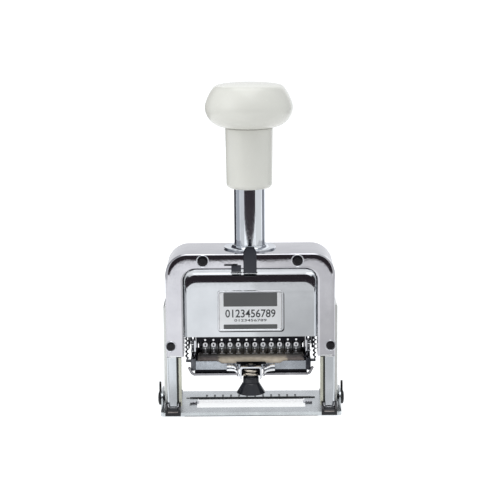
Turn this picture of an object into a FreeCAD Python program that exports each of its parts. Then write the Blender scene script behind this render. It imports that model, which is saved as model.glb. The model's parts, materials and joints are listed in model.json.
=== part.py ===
import FreeCAD, Part
import math
import os

# Desk numbering machine. Millimetres, +Z up, -Y is the front, +X is the right.
# The origin is the middle of the underside, under the axis of the number wheels.

V = FreeCAD.Vector
X_AXIS = V(1, 0, 0)
Y_AXIS = V(0, 1, 0)
Z_AXIS = V(0, 0, 1)
ORIGIN = V(0, 0, 0)
SIDES = {"left": -1, "right": 1}
OVERRUN = 5.0

# Fits
SLIDE_GAP = 0.3
SHAFT_GAP = 0.05
SEAT_GAP = 0.3
GLIDE_GAP = 0.1

# Number wheels
WHEEL_COUNT = 12
WHEEL_PITCH = 4.12
WHEEL_WIDTH = 3.15
WHEEL_BODY_RADIUS = 8.75
WHEEL_AXIS_Z = 36.5
DIGIT_RADIUS = 9.4
DIGIT_WIDTH = 2.6
DIGIT_HEIGHT = 4.2
DIGIT_COUNT = 10
RATCHET_WIDTH = 0.7
RATCHET_RADIUS = 7.6
RATCHET_ROOT = 6.7
RATCHET_STEP_SHARE = 0.12
SHAFT_RADIUS = 2.5
PRINT_GAP = 0.3
WHEEL_STACK_HALF = WHEEL_PITCH * WHEEL_COUNT / 2

# Stroke of the plunger, which brings the digits down to the paper
STROKE = WHEEL_AXIS_Z - DIGIT_RADIUS - PRINT_GAP

# Feed gear behind the wheels
SWING_ARM_GAP = 0.88
SWING_ARM_IN = WHEEL_STACK_HALF + SWING_ARM_GAP
SWING_ARM_THICKNESS = 0.8
SWING_EYE_RADIUS = 4.2
SWING_REST_ANGLE = 24.0
SWING_BAR_GAP = 3.0
SWING_BAR_RADIUS = DIGIT_RADIUS + SWING_BAR_GAP
SWING_ARM_HALF_HEIGHT = 2.4
SWING_BAR_HALF_HEIGHT = 4.5
SWING_BAR_THICKNESS = 1.2
TIP_CLEARANCE = 0.35
PAWL_TIP_RADIUS = DIGIT_RADIUS + TIP_CLEARANCE
PAWL_HALF_HEIGHT = 0.5
PAWL_WIDTH = 1.6
DETENT_TIP_RADIUS = DIGIT_RADIUS + TIP_CLEARANCE
DETENT_WIDTH = 2.2
DETENT_THICKNESS = 0.5
COLLAR_RADIUS = 4.4

# Cheeks of the inner frame that hold the wheel shaft
CHEEK_PLATE_GAP = 0.15
CHEEK_PLATE_IN = SWING_ARM_IN + SWING_ARM_THICKNESS + CHEEK_PLATE_GAP
CHEEK_PLATE_THICKNESS = 0.8
CHEEK_PLATE_FOOT_RADIUS = 4.6
CHEEK_PLATE_NECK_HEIGHT = 9.5
CHEEK_PLATE_WIDE_Z = WHEEL_AXIS_Z + CHEEK_PLATE_NECK_HEIGHT
CHEEK_PLATE_WIDE_DEPTH = 8.6

# Pivot and arms of the pad holder
PIVOT_FORWARD = 1.85
PIVOT_RISE = 1.85
PIVOT_PIN_RADIUS = 1.2
ARM_GAP = 0.25
ARM_IN = CHEEK_PLATE_IN + CHEEK_PLATE_THICKNESS + ARM_GAP
ARM_THICKNESS = 1.0
ARM_EYE_RADIUS = 2.9
ARM_FRONT_SETBACK = 1.0
ARM_WIDTH = 5.0
SPACER_RADIUS = 2.3
SPACER_LENGTH = 1.7

# Inner frame that carries the wheels
SIDE_PLATE_IN = ARM_IN + ARM_THICKNESS + SPACER_LENGTH
SIDE_PLATE_THICKNESS = 0.9
SIDE_PLATE_OUT = SIDE_PLATE_IN + SIDE_PLATE_THICKNESS
SIDE_PLATE_HALF_DEPTH = 10.2
SIDE_PLATE_FOOT_RADIUS = 4.6
BACK_PLATE_THICKNESS = 1.2
BACK_PLATE_RISE = 15.5
BACK_PLATE_FOOT = WHEEL_AXIS_Z + BACK_PLATE_RISE
PANEL_FIT = 0.4
BACK_FIT = 0.2

# Index bar with a dot over each wheel
INDEX_BAR_OVERHANG = 2.28
INDEX_BAR_HALF_WIDTH = WHEEL_STACK_HALF + INDEX_BAR_OVERHANG
INDEX_BAR_THICKNESS = 0.8
INDEX_BAR_GAP = 0.4
INDEX_BAR_BACK = DIGIT_RADIUS + INDEX_BAR_GAP
INDEX_BAR_FRONT = INDEX_BAR_BACK + INDEX_BAR_THICKNESS
INDEX_BAR_DROP = 0.9
INDEX_BAR_FOOT = WHEEL_AXIS_Z - INDEX_BAR_DROP
INDEX_SEAT_DEPTH = 0.8
INDEX_DOT_DIAMETER = 1.0
INDEX_DOT_HEIGHT = 0.2

# Front and back panels of the inner frame
PANEL_WALL = 1.0
PANEL_FACE_Y = INDEX_BAR_FRONT + INDEX_SEAT_DEPTH + PANEL_WALL
PANEL_HALF_WIDTH = SIDE_PLATE_OUT + PANEL_FIT + PANEL_WALL
PANEL_FOOT = WHEEL_AXIS_Z + PIVOT_RISE
PANEL_HEIGHT = 34.85
PANEL_TOP = PANEL_FOOT + PANEL_HEIGHT
BACK_PANEL_RISE = 6.15
BACK_PANEL_FOOT = PANEL_FOOT + BACK_PANEL_RISE
PANEL_DEPTH = 7.0
PANEL_CORNER = 4.4
PANEL_SIDE_ROLL = 2.6
PANEL_TOP_ROLL = 5.6
BACK_PLATE_Y = PANEL_FACE_Y - PANEL_WALL - BACK_FIT - BACK_PLATE_THICKNESS
FRAME_TOP_THICKNESS = 2.0
FRAME_TOP_RISE = PANEL_TOP - PANEL_WALL - BACK_FIT
FRAME_TOP_UNDER = FRAME_TOP_RISE - FRAME_TOP_THICKNESS
FRAME_TOP_HALF_DEPTH = 5.2
FRAME_SHOULDER = FRAME_TOP_RISE - PANEL_TOP_ROLL

# Label plate
LABEL_HALF_WIDTH = 16.4
LABEL_HEIGHT = 20.5
LABEL_RISE = 2.95
LABEL_FOOT = PANEL_FOOT + LABEL_RISE
LABEL_TOP = LABEL_FOOT + LABEL_HEIGHT
LABEL_THICKNESS = 0.4
LABEL_CORNER = 1.6

# Outer casting, an inverted U
PANEL_SIDE_GAP = 0.6
PANEL_TOP_GAP = 0.5
OPENING_HALF_WIDTH = PANEL_HALF_WIDTH + PANEL_SIDE_GAP
OPENING_TOP = PANEL_TOP + PANEL_TOP_GAP
OPENING_CORNER = 4.6
PILLAR_WIDTH = 8.6
BEAM_HEIGHT = 7.3
CASTING_HALF_WIDTH = OPENING_HALF_WIDTH + PILLAR_WIDTH
CASTING_HALF_DEPTH = 17.0
CASTING_TOP = OPENING_TOP + BEAM_HEIGHT
CASTING_CORNER = 11.0
CASTING_EDGE = 1.3
TOP_POCKET_INSET = 2.7
TOP_POCKET_HALF_WIDTH = OPENING_HALF_WIDTH - TOP_POCKET_INSET
TOP_WALL = 2.6
PILLAR_OUTER_WALL = 1.9
PILLAR_INNER_WALL = 1.7
PILLAR_POCKET_OUT = CASTING_HALF_WIDTH - PILLAR_OUTER_WALL
PILLAR_POCKET_IN = OPENING_HALF_WIDTH + PILLAR_INNER_WALL
PILLAR_POCKET_HEIGHT = 13.0
RUNNER_HALF_DEPTH = 3.5
RUNNER_RISE = 5.5
RUNNER_FOOT = WHEEL_AXIS_Z + RUNNER_RISE
RUNNER_TOP = OPENING_TOP - OPENING_CORNER - SLIDE_GAP

# Base plate
BASE_HALF_DEPTH = 21.0
BASE_THICKNESS = 2.0
BASE_CORNER = 2.0
WINDOW_END_GAP = 2.48
WINDOW_HALF_WIDTH = WHEEL_STACK_HALF + WINDOW_END_GAP
WINDOW_FRONT = 11.5
WINDOW_BACK = 5.6
WINDOW_CORNER = 0.8
TICK_DIAMETER = 0.9
TICK_HEIGHT = 0.25
TICK_INSET = 3.2
TAB_LENGTH = 3.6
TAB_REACH = 0.9
TAB_DEPTH = 3.0
TAB_THICKNESS = 0.7
RULE_OVERHANG = 3.6
RULE_SETBACK = 0.8
RULE_DEPTH = 0.9
RULE_HEIGHT = 0.5
RULE_POINT = 1.1

# Legs, pressed channels under and outside the casting
LEG_PROUD = 0.8
LEG_FACE_WIDTH = 6.4
LEG_OUT = CASTING_HALF_WIDTH + LEG_PROUD
LEG_FACE_IN = LEG_OUT - LEG_FACE_WIDTH
LEG_SHEET = 1.2
LEG_SEAT_HEIGHT = 1.9
LEG_HEIGHT = 25.5
LEG_FOOT = BASE_THICKNESS + LEG_SEAT_HEIGHT
CASTING_FOOT = LEG_FOOT + LEG_HEIGHT
LEG_FOOT_CORNER = 2.2
LEG_RAIL_INSET = 0.4
LEG_RAIL_IN = OPENING_HALF_WIDTH + LEG_RAIL_INSET
LEG_RAIL_WIDTH = 1.6
LEG_RAIL_DEPTH = 5.0
LEG_RAIL_BACKSET = 1.0
RIB_PROUD = 1.3
RIB_OUT = LEG_OUT + RIB_PROUD
RIB_HALF_DEPTH = 10.0
RIB_RISE = 25.5
RIB_TOP = CASTING_FOOT + RIB_RISE
RIB_CORNER = 5.0
TONGUE_HEIGHT = 10.0

# Upright ears at the ends of the base plate
EAR_THICKNESS = 0.8
EAR_IN = RIB_OUT + SLIDE_GAP / 2
EAR_OUT = EAR_IN + EAR_THICKNESS
EAR_FRONT = 13.5
EAR_BACK = 4.0
EAR_HEIGHT = 9.9
EAR_CORNER = 3.0

# Black shoes that take the feet of the legs
SHOE_LIP = 0.3
SHOE_INSET = 0.4
SHOE_IN = LEG_RAIL_IN - SHOE_LIP
SHOE_HALF_DEPTH = BASE_HALF_DEPTH - SHOE_INSET
SHOE_HEIGHT = 3.4
SHOE_EDGE = 0.8

# Screws
TOP_SCREW_INSET = 18.5
TOP_SCREW_X = CASTING_HALF_WIDTH - TOP_SCREW_INSET
TOP_SCREW_DROP = 3.6
TOP_SCREW_Z = CASTING_TOP - TOP_SCREW_DROP
TOP_SCREW_HEAD = 5.2
TOP_SCREW_RELIEF = 1.2
TOP_SCREW_RECESS = TOP_SCREW_HEAD + TOP_SCREW_RELIEF
LEG_SCREW_INSET = 2.3
LEG_SCREW_X = CASTING_HALF_WIDTH - LEG_SCREW_INSET
LEG_SCREW_RISE = 5.3
LEG_SCREW_Z = CASTING_FOOT + LEG_SCREW_RISE
LEG_SCREW_HEAD = 4.4
SCREW_HEAD_HEIGHT = 0.9
SCREW_SHANK = 2.6
SCREW_LENGTH = 2.4
SOCKET_WIDTH = 2.0
SOCKET_DEPTH = 0.6

# Barrel and flange on the casting
BARREL_RADIUS = 7.75
BARREL_WALL = 1.1
BARREL_LENGTH = 47.5
BARREL_TOP = CASTING_TOP + BARREL_LENGTH
FLANGE_RADIUS = 13.0
FLANGE_RIM = 1.0
FLANGE_COLLAR_RADIUS = 9.6
FLANGE_HEIGHT = 2.2

# Press knob: mushroom head and skirt
PRESS_GAP = 1.3
CAVITY_GAP = 1.7
SKIRT_RADIUS = 11.8
SKIRT_FOOT_RADIUS = 11.4
SKIRT_FOOT = CASTING_TOP + FLANGE_HEIGHT + STROKE + PRESS_GAP
SKIRT_EDGE = 2.4
SKIRT_NECK_HEIGHT = 4.0
SKIRT_NECK_RADIUS = 10.6
HEAD_CAVITY_TOP = BARREL_TOP + STROKE + CAVITY_GAP
HEAD_ROOF = 6.7
HEAD_HEIGHT = 22.1
HEAD_CROWN = 1.4
HEAD_BELLY_HEIGHT = 10.0
HEAD_TOP = HEAD_CAVITY_TOP + HEAD_ROOF
HEAD_BOTTOM = HEAD_TOP - HEAD_HEIGHT
HEAD_SHOULDER_Z = HEAD_TOP - HEAD_CROWN
HEAD_SHOULDER_RADIUS = 16.6
HEAD_WIDE_Z = HEAD_BOTTOM + HEAD_BELLY_HEIGHT
HEAD_WIDE_RADIUS = 21.9
HEAD_BOTTOM_RADIUS = 12.6
FLANK_SHARES = (0.66, 0.5)
BELLY_SHARES = (0.7, 0.33)
CROWN_SHARES = (0.5, 0.25)

# Plunger rod and main spring
ROD_RADIUS = 3.0
ROD_BORE_GAP = 0.05
MAIN_SPRING_WIRE = 1.1
MAIN_SPRING_RADIUS = 5.0
MAIN_SPRING_TURNS = 14
ROD_NUT_RADIUS = 5.0
ROD_NUT_HEIGHT = 2.4

# Felt pad, under the lowest digits at rest
PAD_GAP = 0.4
PAD_OVERHANG = 2.08
PAD_HALF_WIDTH = WHEEL_STACK_HALF + PAD_OVERHANG
PAD_FRONT = 7.7
PAD_REAR = 6.3
PAD_TOP = WHEEL_AXIS_Z - DIGIT_RADIUS - PAD_GAP
PAD_THICKNESS = 3.4

# Tray of the pad holder, its lip and cheeks
TRAY_REAR = 7.15
TRAY_FRONT = 8.6
TRAY_WALL_DROP = 1.6
TRAY_WALL_TOP = PAD_TOP - TRAY_WALL_DROP
TRAY_DEPTH = 7.4
TRAY_FOOT = PAD_TOP - TRAY_DEPTH
TRAY_SHEET = 0.7
TRAY_REAR_RISE = 1.0
TRAY_REAR_FOOT = TRAY_FOOT + TRAY_REAR_RISE
NOTCH_HALF_WIDTH = 16.6
NOTCH_SLANT = 2.2
NOTCH_DEPTH = 1.2
NOTCH_FOOT = TRAY_WALL_TOP - NOTCH_DEPTH
LIP_DEPTH = 1.2
LIP_THICKNESS = 1.0
LIP_FRONT = TRAY_FRONT + LIP_DEPTH
LIP_DROP = 0.4
LIP_TOP = TRAY_FOOT - LIP_DROP
LIP_FOOT = LIP_TOP - LIP_THICKNESS
LIP_HALF_WIDTH = 29.8
LIP_CORNER = 0.9
LIP_GAP_HALF_WIDTH = 6.2
BAY_HEIGHT = 2.7
BAY_TOP = LIP_FOOT + BAY_HEIGHT
FLAP_REACH = 2.2
FLAP_HEIGHT = 5.1
FLAP_TOP = LIP_FOOT + FLAP_HEIGHT
CHEEK_OUT = SIDE_PLATE_IN - SLIDE_GAP
CHEEK_TOP = PAD_TOP - SEAT_GAP
CHEEK_CORNER = 4.0

# Bracket on the tray and the release knob
BRACKET_REACH = 3.6
BRACKET_Y = TRAY_FRONT + BRACKET_REACH
BRACKET_OUT = 5.4
BRACKET_SHEET = 0.8
BRACKET_EAR_THICKNESS = 1.0
BRACKET_IN = BRACKET_OUT - BRACKET_EAR_THICKNESS
BRACKET_DROP = 3.5
BRACKET_TOP = PAD_TOP - BRACKET_DROP
BRACKET_EAR_LENGTH = 5.9
BRACKET_EAR_FOOT = BRACKET_TOP - BRACKET_EAR_LENGTH
BRACKET_HALF_DEPTH = 3.4
BRACKET_WING_OUT = 11.4
BRACKET_WING_HEIGHT = 3.4
BRACKET_WING_RISE = 0.4
BRACKET_WING_TOP = BRACKET_TOP + BRACKET_WING_RISE
BRACKET_WING_FOOT = BRACKET_WING_TOP - BRACKET_WING_HEIGHT
KNOB_NECK_DROP = 5.2
KNOB_NECK_TOP = BRACKET_TOP - KNOB_NECK_DROP
KNOB_NECK_LENGTH = 2.9
KNOB_NECK_FOOT = KNOB_NECK_TOP - KNOB_NECK_LENGTH
KNOB_NECK_RADIUS = 3.85
KNOB_BELL_LENGTH = 4.4
KNOB_WIDE_Z = KNOB_NECK_FOOT - KNOB_BELL_LENGTH
KNOB_WIDE_RADIUS = 7.2
KNOB_RIM = 0.9
KNOB_FOOT = KNOB_WIDE_Z - KNOB_RIM
KNOB_STEM_RADIUS = 1.5
KNOB_STEM_RISE = 1.2
KNOB_STEM_TOP = BRACKET_TOP + KNOB_STEM_RISE
KNOB_COLLAR_RADIUS = 2.1
KNOB_COLLAR_HEIGHT = 0.8
KNOB_SPRING_WIRE = 0.7
KNOB_SPRING_RADIUS = 3.05
KNOB_SPRING_TURNS = 3

# Side springs on posts at the ends of the pad holder
POST_INSET = 0.375
POST_X = PANEL_HALF_WIDTH - POST_INSET
POST_Y = 1.0
POST_RADIUS = 0.2
SIDE_SPRING_WIRE = 0.45
SIDE_SPRING_RADIUS = 0.55
SIDE_SPRING_TURNS = 4
POST_TOP_DROP = 0.5
POST_TOP = WHEEL_AXIS_Z - POST_TOP_DROP
POST_FOOT_DROP = 3.1
POST_FOOT = PAD_TOP - POST_FOOT_DROP
POST_FOOT_THICKNESS = 0.6
POST_FOOT_HALF_DEPTH = 1.0

# Stopper tab and repeat selector on the front of the casting
STOPPER_HALF_WIDTH = 3.25
STOPPER_THICKNESS = 1.2
STOPPER_OVERLAP = 2.1
STOPPER_FOOT = OPENING_TOP - STOPPER_OVERLAP
STOPPER_RISE = 1.0
STOPPER_SHOULDER = CASTING_TOP + STOPPER_RISE
STOPPER_SLANT = 2.6
STOPPER_TOP = STOPPER_SHOULDER + STOPPER_SLANT
STOPPER_TOP_HALF_WIDTH = 2.0
STOPPER_STEM_HALF_WIDTH = 1.4
STOPPER_STEM_DROP = 3.0
STOPPER_STEM_TOP = CASTING_TOP - STOPPER_STEM_DROP
STOPPER_STEM_HEIGHT = 1.6
STOPPER_TRAVEL = 2.0
STOPPER_LATCH_HALF_WIDTH = 2.8
SELECTOR_OUT = 9.2
SELECTOR_IN = 4.4
SELECTOR_RISE = 1.6
SELECTOR_TOP = OPENING_TOP + SELECTOR_RISE
SELECTOR_HEIGHT = 3.1
SELECTOR_FOOT = SELECTOR_TOP - SELECTOR_HEIGHT
SELECTOR_THICKNESS = 1.0
SELECTOR_STEM_HEIGHT = 0.8
SELECTOR_STEM_INSET = 0.6
SELECTOR_STEM_OUT = SELECTOR_OUT - SELECTOR_STEM_INSET
SELECTOR_STEM_LENGTH = 2.4
SELECTOR_TRAVEL = 4.0
SELECTOR_LATCH_HEIGHT = 1.5
LATCH_HEIGHT = 3.0
LATCH_THICKNESS = 1.1

# Side knobs on the base ears
SIDE_KNOB_RADIUS = 3.6
SIDE_KNOB_Y = -5.5
SIDE_KNOB_Z = 5.5
SIDE_KNOB_WIDTH = 1.9
SIDE_KNOB_PIN_RADIUS = 1.3
SIDE_TAB_HALF_DEPTH = 1.6
SIDE_TAB_HEIGHT = 5.0
SIDE_TAB_WIDTH = 1.0
SIDE_KNOB_RIBS = 18
SIDE_KNOB_RIB_RADIUS = 0.35

# Worked-out places
AXIS = V(0, 0, WHEEL_AXIS_Z)
PIVOT = V(0, -PIVOT_FORWARD, WHEEL_AXIS_Z + PIVOT_RISE)
CASTING_FRONT = -CASTING_HALF_DEPTH

# Counts and shares of the helpers
SAME = 1e-6
DIAGONAL = math.sqrt(0.5)
STEPS_PER_TURN = 4
SAMPLES_PER_TURN = 16


def block(x0, x1, y0, y1, z0, z1):
    """A box between two corners, given in any order."""
    low = V(min(x0, x1), min(y0, y1), min(z0, z1))
    return Part.makeBox(abs(x1 - x0), abs(y1 - y0), abs(z1 - z0), low)


def rod(radius, start, end):
    """A round bar from one point to another."""
    return Part.makeCylinder(radius, (end - start).Length, start, end - start)


def along_x(radius, x0, x1, y=0.0, z=WHEEL_AXIS_Z):
    return rod(radius, V(min(x0, x1), y, z), V(max(x0, x1), y, z))


def along_y(radius, y0, y1, x, z):
    return rod(radius, V(x, min(y0, y1), z), V(x, max(y0, y1), z))


def along_z(radius, z0, z1, x=0.0, y=0.0):
    return rod(radius, V(x, y, min(z0, z1)), V(x, y, max(z0, z1)))


def prism(points, direction):
    """A closed outline of points pushed along a direction."""
    return Part.Face(Part.makePolygon(points + [points[0]])).extrude(direction)


def turned(outline, x=0.0, y=0.0):
    """A round body from edges in the XZ plane, turned about a vertical axis."""
    body = Part.Face(Part.Wire(outline)).revolve(ORIGIN, Z_AXIS, 360)
    body.translate(V(x, y, 0))
    return body


def line(a, b):
    return Part.LineSegment(a, b).toShape()


def arc(a, b, c):
    return Part.Arc(a, b, c).toShape()


def rounded(shape, radius, chosen):
    """Round the edges that the test picks."""
    edges = [edge for edge in shape.Edges if chosen(edge)]
    return shape.makeFillet(radius, edges)


def runs_along(edge, axis):
    """True where an edge is straight and lies along an axis."""
    if len(edge.Vertexes) < 2 or not isinstance(edge.Curve, Part.Line):
        return False
    way = edge.Vertexes[1].Point - edge.Vertexes[0].Point
    return abs(abs(way.normalize().dot(axis)) - 1) < SAME


def middle(edge):
    return edge.valueAt((edge.FirstParameter + edge.LastParameter) / 2)


def helix_point(radius, pitch, turn, x, y, z):
    angle = 2 * math.pi * turn
    return V(x + radius * math.cos(angle), y + radius * math.sin(angle), z + pitch * turn)


def helix_way(radius, pitch, turn):
    angle = 2 * math.pi * turn
    rise = pitch / (2 * math.pi)
    return V(-radius * math.sin(angle), radius * math.cos(angle), rise).normalize()


def bend(start, corner, end):
    """The arc that leaves start and reaches end along the two legs of a corner."""
    chord_middle = (start + end) * 0.5
    half = (end - start).Length / 2
    rise = corner - chord_middle
    lift = half * math.tan(math.atan2(rise.Length, half) / 2)
    return arc(start, chord_middle + rise.normalize() * lift, end)


def spring(wire, radius, turns, z0, z1, x=0.0, y=0.0):
    """A coil spring as one tube on two tangent arcs per quarter turn."""
    steps = turns * STEPS_PER_TURN
    low = z0 + wire / 2
    pitch = (z1 - z0 - wire) / turns
    edges = []
    for step in range(steps):
        a = helix_point(radius, pitch, step / STEPS_PER_TURN, x, y, low)
        b = helix_point(radius, pitch, (step + 1) / STEPS_PER_TURN, x, y, low)
        way_a = helix_way(radius, pitch, step / STEPS_PER_TURN)
        way_b = helix_way(radius, pitch, (step + 1) / STEPS_PER_TURN)
        span = b - a
        ways = way_a + way_b
        square = 4 - ways.dot(ways)
        cross = span.dot(ways)
        reach = (math.sqrt(cross * cross + square * span.dot(span)) - cross) / square
        corner_a = a + way_a * reach
        corner_b = b - way_b * reach
        join = (corner_a + corner_b) * 0.5
        edges.append(bend(a, corner_a, join))
        edges.append(bend(join, corner_b, b))
    start = helix_point(radius, pitch, 0, x, y, low)
    ring = Part.Circle(start, helix_way(radius, pitch, 0), wire / 2).toShape()
    tube = Part.Wire(edges).makePipeShell([Part.Wire([ring])], True, False)
    samples = [helix_point(radius, pitch, n / SAMPLES_PER_TURN, x, y, low)
               for n in range(turns * SAMPLES_PER_TURN + 1)]
    gaps = [(p - q).Length for i, p in enumerate(samples)
            for q in samples[i + SAMPLES_PER_TURN // 2:]]
    print("spring least gap to itself", round(min(gaps) - wire, 3))
    return tube


def knurled(radius, x0, x1, z, ribs, rib_radius):
    """A disc along X with small round ribs on its rim."""
    disc = along_x(radius - rib_radius, x0, x1, 0, z)
    for n in range(ribs):
        angle = 2 * math.pi * n / ribs
        y = (radius - rib_radius) * math.cos(angle)
        rise = (radius - rib_radius) * math.sin(angle)
        disc = disc.fuse(along_x(rib_radius, x0, x1, y, z + rise))
    return disc.removeSplitter()


def socket_screw(centre, head_radius, head_height):
    """A low screw along Y with a hexagonal socket; centre lies on its seat."""
    head = along_y(head_radius, centre.y - head_height, centre.y, centre.x, centre.z)
    shank = along_y(SCREW_SHANK / 2, centre.y, centre.y + SCREW_LENGTH, centre.x, centre.z)
    points = []
    for n in range(6):
        angle = math.pi * n / 3
        across = SOCKET_WIDTH / math.sqrt(3)
        points.append(V(centre.x + across * math.cos(angle), centre.y - head_height,
                        centre.z + across * math.sin(angle)))
    return head.fuse(shank).cut(prism(points, V(0, SOCKET_DEPTH, 0)))


# Base

def base_plate():
    plate = block(-EAR_OUT, EAR_OUT, -BASE_HALF_DEPTH, BASE_HALF_DEPTH, 0, BASE_THICKNESS)
    plate = rounded(plate, BASE_CORNER, lambda e: runs_along(e, Z_AXIS))
    window = block(-WINDOW_HALF_WIDTH, WINDOW_HALF_WIDTH, -WINDOW_FRONT, WINDOW_BACK,
                   -OVERRUN, OVERRUN)
    plate = plate.cut(rounded(window, WINDOW_CORNER, lambda e: runs_along(e, Z_AXIS)))
    for side in SIDES.values():
        ear = block(side * EAR_IN, side * EAR_OUT, -EAR_FRONT, EAR_BACK, 0, EAR_HEIGHT)
        ear = rounded(ear, EAR_CORNER, lambda e: runs_along(e, X_AXIS) and middle(e).z > EAR_CORNER)
        hole = along_x(SIDE_KNOB_PIN_RADIUS + SHAFT_GAP, side * RIB_OUT, side * (EAR_OUT + OVERRUN),
                       SIDE_KNOB_Y, SIDE_KNOB_Z)
        plate = plate.fuse(ear.cut(hole))
    return plate.removeSplitter()


def tick_marks():
    """One raised dot for each wheel along the back edge of the window."""
    dots = []
    for n in range(WHEEL_COUNT):
        x = (n - (WHEEL_COUNT - 1) / 2) * WHEEL_PITCH
        dots.append(along_z(TICK_DIAMETER / 2, BASE_THICKNESS, BASE_THICKNESS + TICK_HEIGHT,
                            x, WINDOW_BACK + TICK_INSET))
    return Part.makeCompound(dots)


def window_rule():
    """A thin dark strip with pointed ends, set just behind the window."""
    half = WINDOW_HALF_WIDTH + RULE_OVERHANG
    y0 = WINDOW_BACK + RULE_SETBACK
    y1 = y0 + RULE_DEPTH
    y_mid = (y0 + y1) / 2
    z = BASE_THICKNESS
    outline = [V(-half, y_mid, z), V(RULE_POINT - half, y0, z), V(half - RULE_POINT, y0, z),
               V(half, y_mid, z), V(half - RULE_POINT, y1, z), V(RULE_POINT - half, y1, z)]
    return prism(outline, V(0, 0, RULE_HEIGHT))


def gauge_tabs():
    """Small pointers that reach into the window from each end."""
    tabs = []
    for side in SIDES.values():
        tip = side * (WINDOW_HALF_WIDTH - TAB_REACH)
        root = side * (WINDOW_HALF_WIDTH + TAB_LENGTH)
        y = -(WINDOW_FRONT - WINDOW_BACK) / 2
        tabs.append(block(tip, root, y - TAB_DEPTH / 2, y + TAB_DEPTH / 2,
                          BASE_THICKNESS, BASE_THICKNESS + TAB_THICKNESS))
    return Part.makeCompound(tabs)


def shoe(side):
    """A black block that holds the foot of one leg."""
    body = block(side * SHOE_IN, side * LEG_OUT, -SHOE_HALF_DEPTH, SHOE_HALF_DEPTH,
                 BASE_THICKNESS, BASE_THICKNESS + SHOE_HEIGHT)
    top = BASE_THICKNESS + SHOE_HEIGHT
    body = rounded(body, SHOE_EDGE, lambda e: abs(middle(e).z - top) < SAME)
    seat = block(side * LEG_FACE_IN, side * LEG_OUT, -CASTING_HALF_DEPTH, CASTING_HALF_DEPTH,
                 LEG_FOOT, top + OVERRUN)
    rib_seat = block(side * (LEG_OUT - LEG_SHEET), side * (RIB_OUT + OVERRUN), -RIB_HALF_DEPTH,
                     RIB_HALF_DEPTH, LEG_FOOT, top + OVERRUN)
    rail_seat = block(side * (SHOE_IN - OVERRUN), side * LEG_FACE_IN, -CASTING_HALF_DEPTH
                      + LEG_RAIL_BACKSET, CASTING_HALF_DEPTH - LEG_RAIL_BACKSET, LEG_FOOT,
                      top + OVERRUN)
    return body.cut(seat).cut(rib_seat).cut(rail_seat)


# Outer frame

def casting():
    body = block(-CASTING_HALF_WIDTH, CASTING_HALF_WIDTH, -CASTING_HALF_DEPTH, CASTING_HALF_DEPTH,
                 CASTING_FOOT, CASTING_TOP)
    body = rounded(body, CASTING_CORNER,
                   lambda e: runs_along(e, Y_AXIS) and middle(e).z > CASTING_FOOT + OVERRUN)
    outer_edges = [e for e in body.Edges if abs(abs(middle(e).y) - CASTING_HALF_DEPTH) < SAME
                   and middle(e).z > CASTING_FOOT + CASTING_EDGE]
    body = body.makeFillet(CASTING_EDGE, outer_edges)
    gap = block(-OPENING_HALF_WIDTH, OPENING_HALF_WIDTH, -CASTING_HALF_DEPTH - OVERRUN,
                CASTING_HALF_DEPTH + OVERRUN, CASTING_FOOT - OVERRUN, OPENING_TOP)
    gap = rounded(gap, OPENING_CORNER,
                  lambda e: runs_along(e, Y_AXIS) and middle(e).z > CASTING_FOOT)
    body = body.cut(gap)
    inner_depth = CASTING_HALF_DEPTH - TOP_WALL
    pocket_top = CASTING_TOP - TOP_WALL
    pocket = block(-TOP_POCKET_HALF_WIDTH, TOP_POCKET_HALF_WIDTH, -inner_depth, inner_depth,
                   OPENING_TOP - OVERRUN, pocket_top)
    body = body.cut(pocket)
    for side in SIDES.values():
        hollow = block(side * PILLAR_POCKET_IN, side * PILLAR_POCKET_OUT, -inner_depth, inner_depth,
                       CASTING_FOOT - OVERRUN, CASTING_FOOT + PILLAR_POCKET_HEIGHT)
        body = body.cut(hollow)
        screw_x = side * TOP_SCREW_X
        body = body.cut(along_y(TOP_SCREW_RECESS / 2, CASTING_FRONT - OVERRUN,
                                CASTING_FRONT + SCREW_HEAD_HEIGHT, screw_x, TOP_SCREW_Z))
        body = body.cut(along_y(SCREW_SHANK / 2, CASTING_FRONT, CASTING_FRONT + OVERRUN,
                                screw_x, TOP_SCREW_Z))
        body = body.cut(along_y(LEG_SCREW_HEAD / 2, CASTING_FRONT - OVERRUN,
                                CASTING_FRONT + SCREW_HEAD_HEIGHT, side * LEG_SCREW_X, LEG_SCREW_Z))
        body = body.cut(along_y(SCREW_SHANK / 2, CASTING_FRONT, CASTING_FRONT + OVERRUN,
                                side * LEG_SCREW_X, LEG_SCREW_Z))
    body = body.cut(along_z(ROD_RADIUS + ROD_BORE_GAP, pocket_top - OVERRUN, CASTING_TOP + OVERRUN))
    stem_half = STOPPER_STEM_HALF_WIDTH + GLIDE_GAP
    stem_foot = STOPPER_STEM_TOP - STOPPER_STEM_HEIGHT - STOPPER_TRAVEL - GLIDE_GAP
    body = body.cut(block(-stem_half, stem_half, CASTING_FRONT - OVERRUN, CASTING_FRONT + OVERRUN / 2
                          + TOP_WALL, stem_foot, STOPPER_STEM_TOP + GLIDE_GAP))
    slot_out = SELECTOR_STEM_OUT + SELECTOR_TRAVEL + GLIDE_GAP
    slot_in = SELECTOR_STEM_OUT - SELECTOR_STEM_LENGTH - GLIDE_GAP
    body = body.cut(block(-slot_out, -slot_in, CASTING_FRONT - OVERRUN, CASTING_FRONT + OVERRUN / 2
                          + TOP_WALL, SELECTOR_TOP - SELECTOR_STEM_HEIGHT - GLIDE_GAP,
                          SELECTOR_TOP + GLIDE_GAP))
    return body


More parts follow.
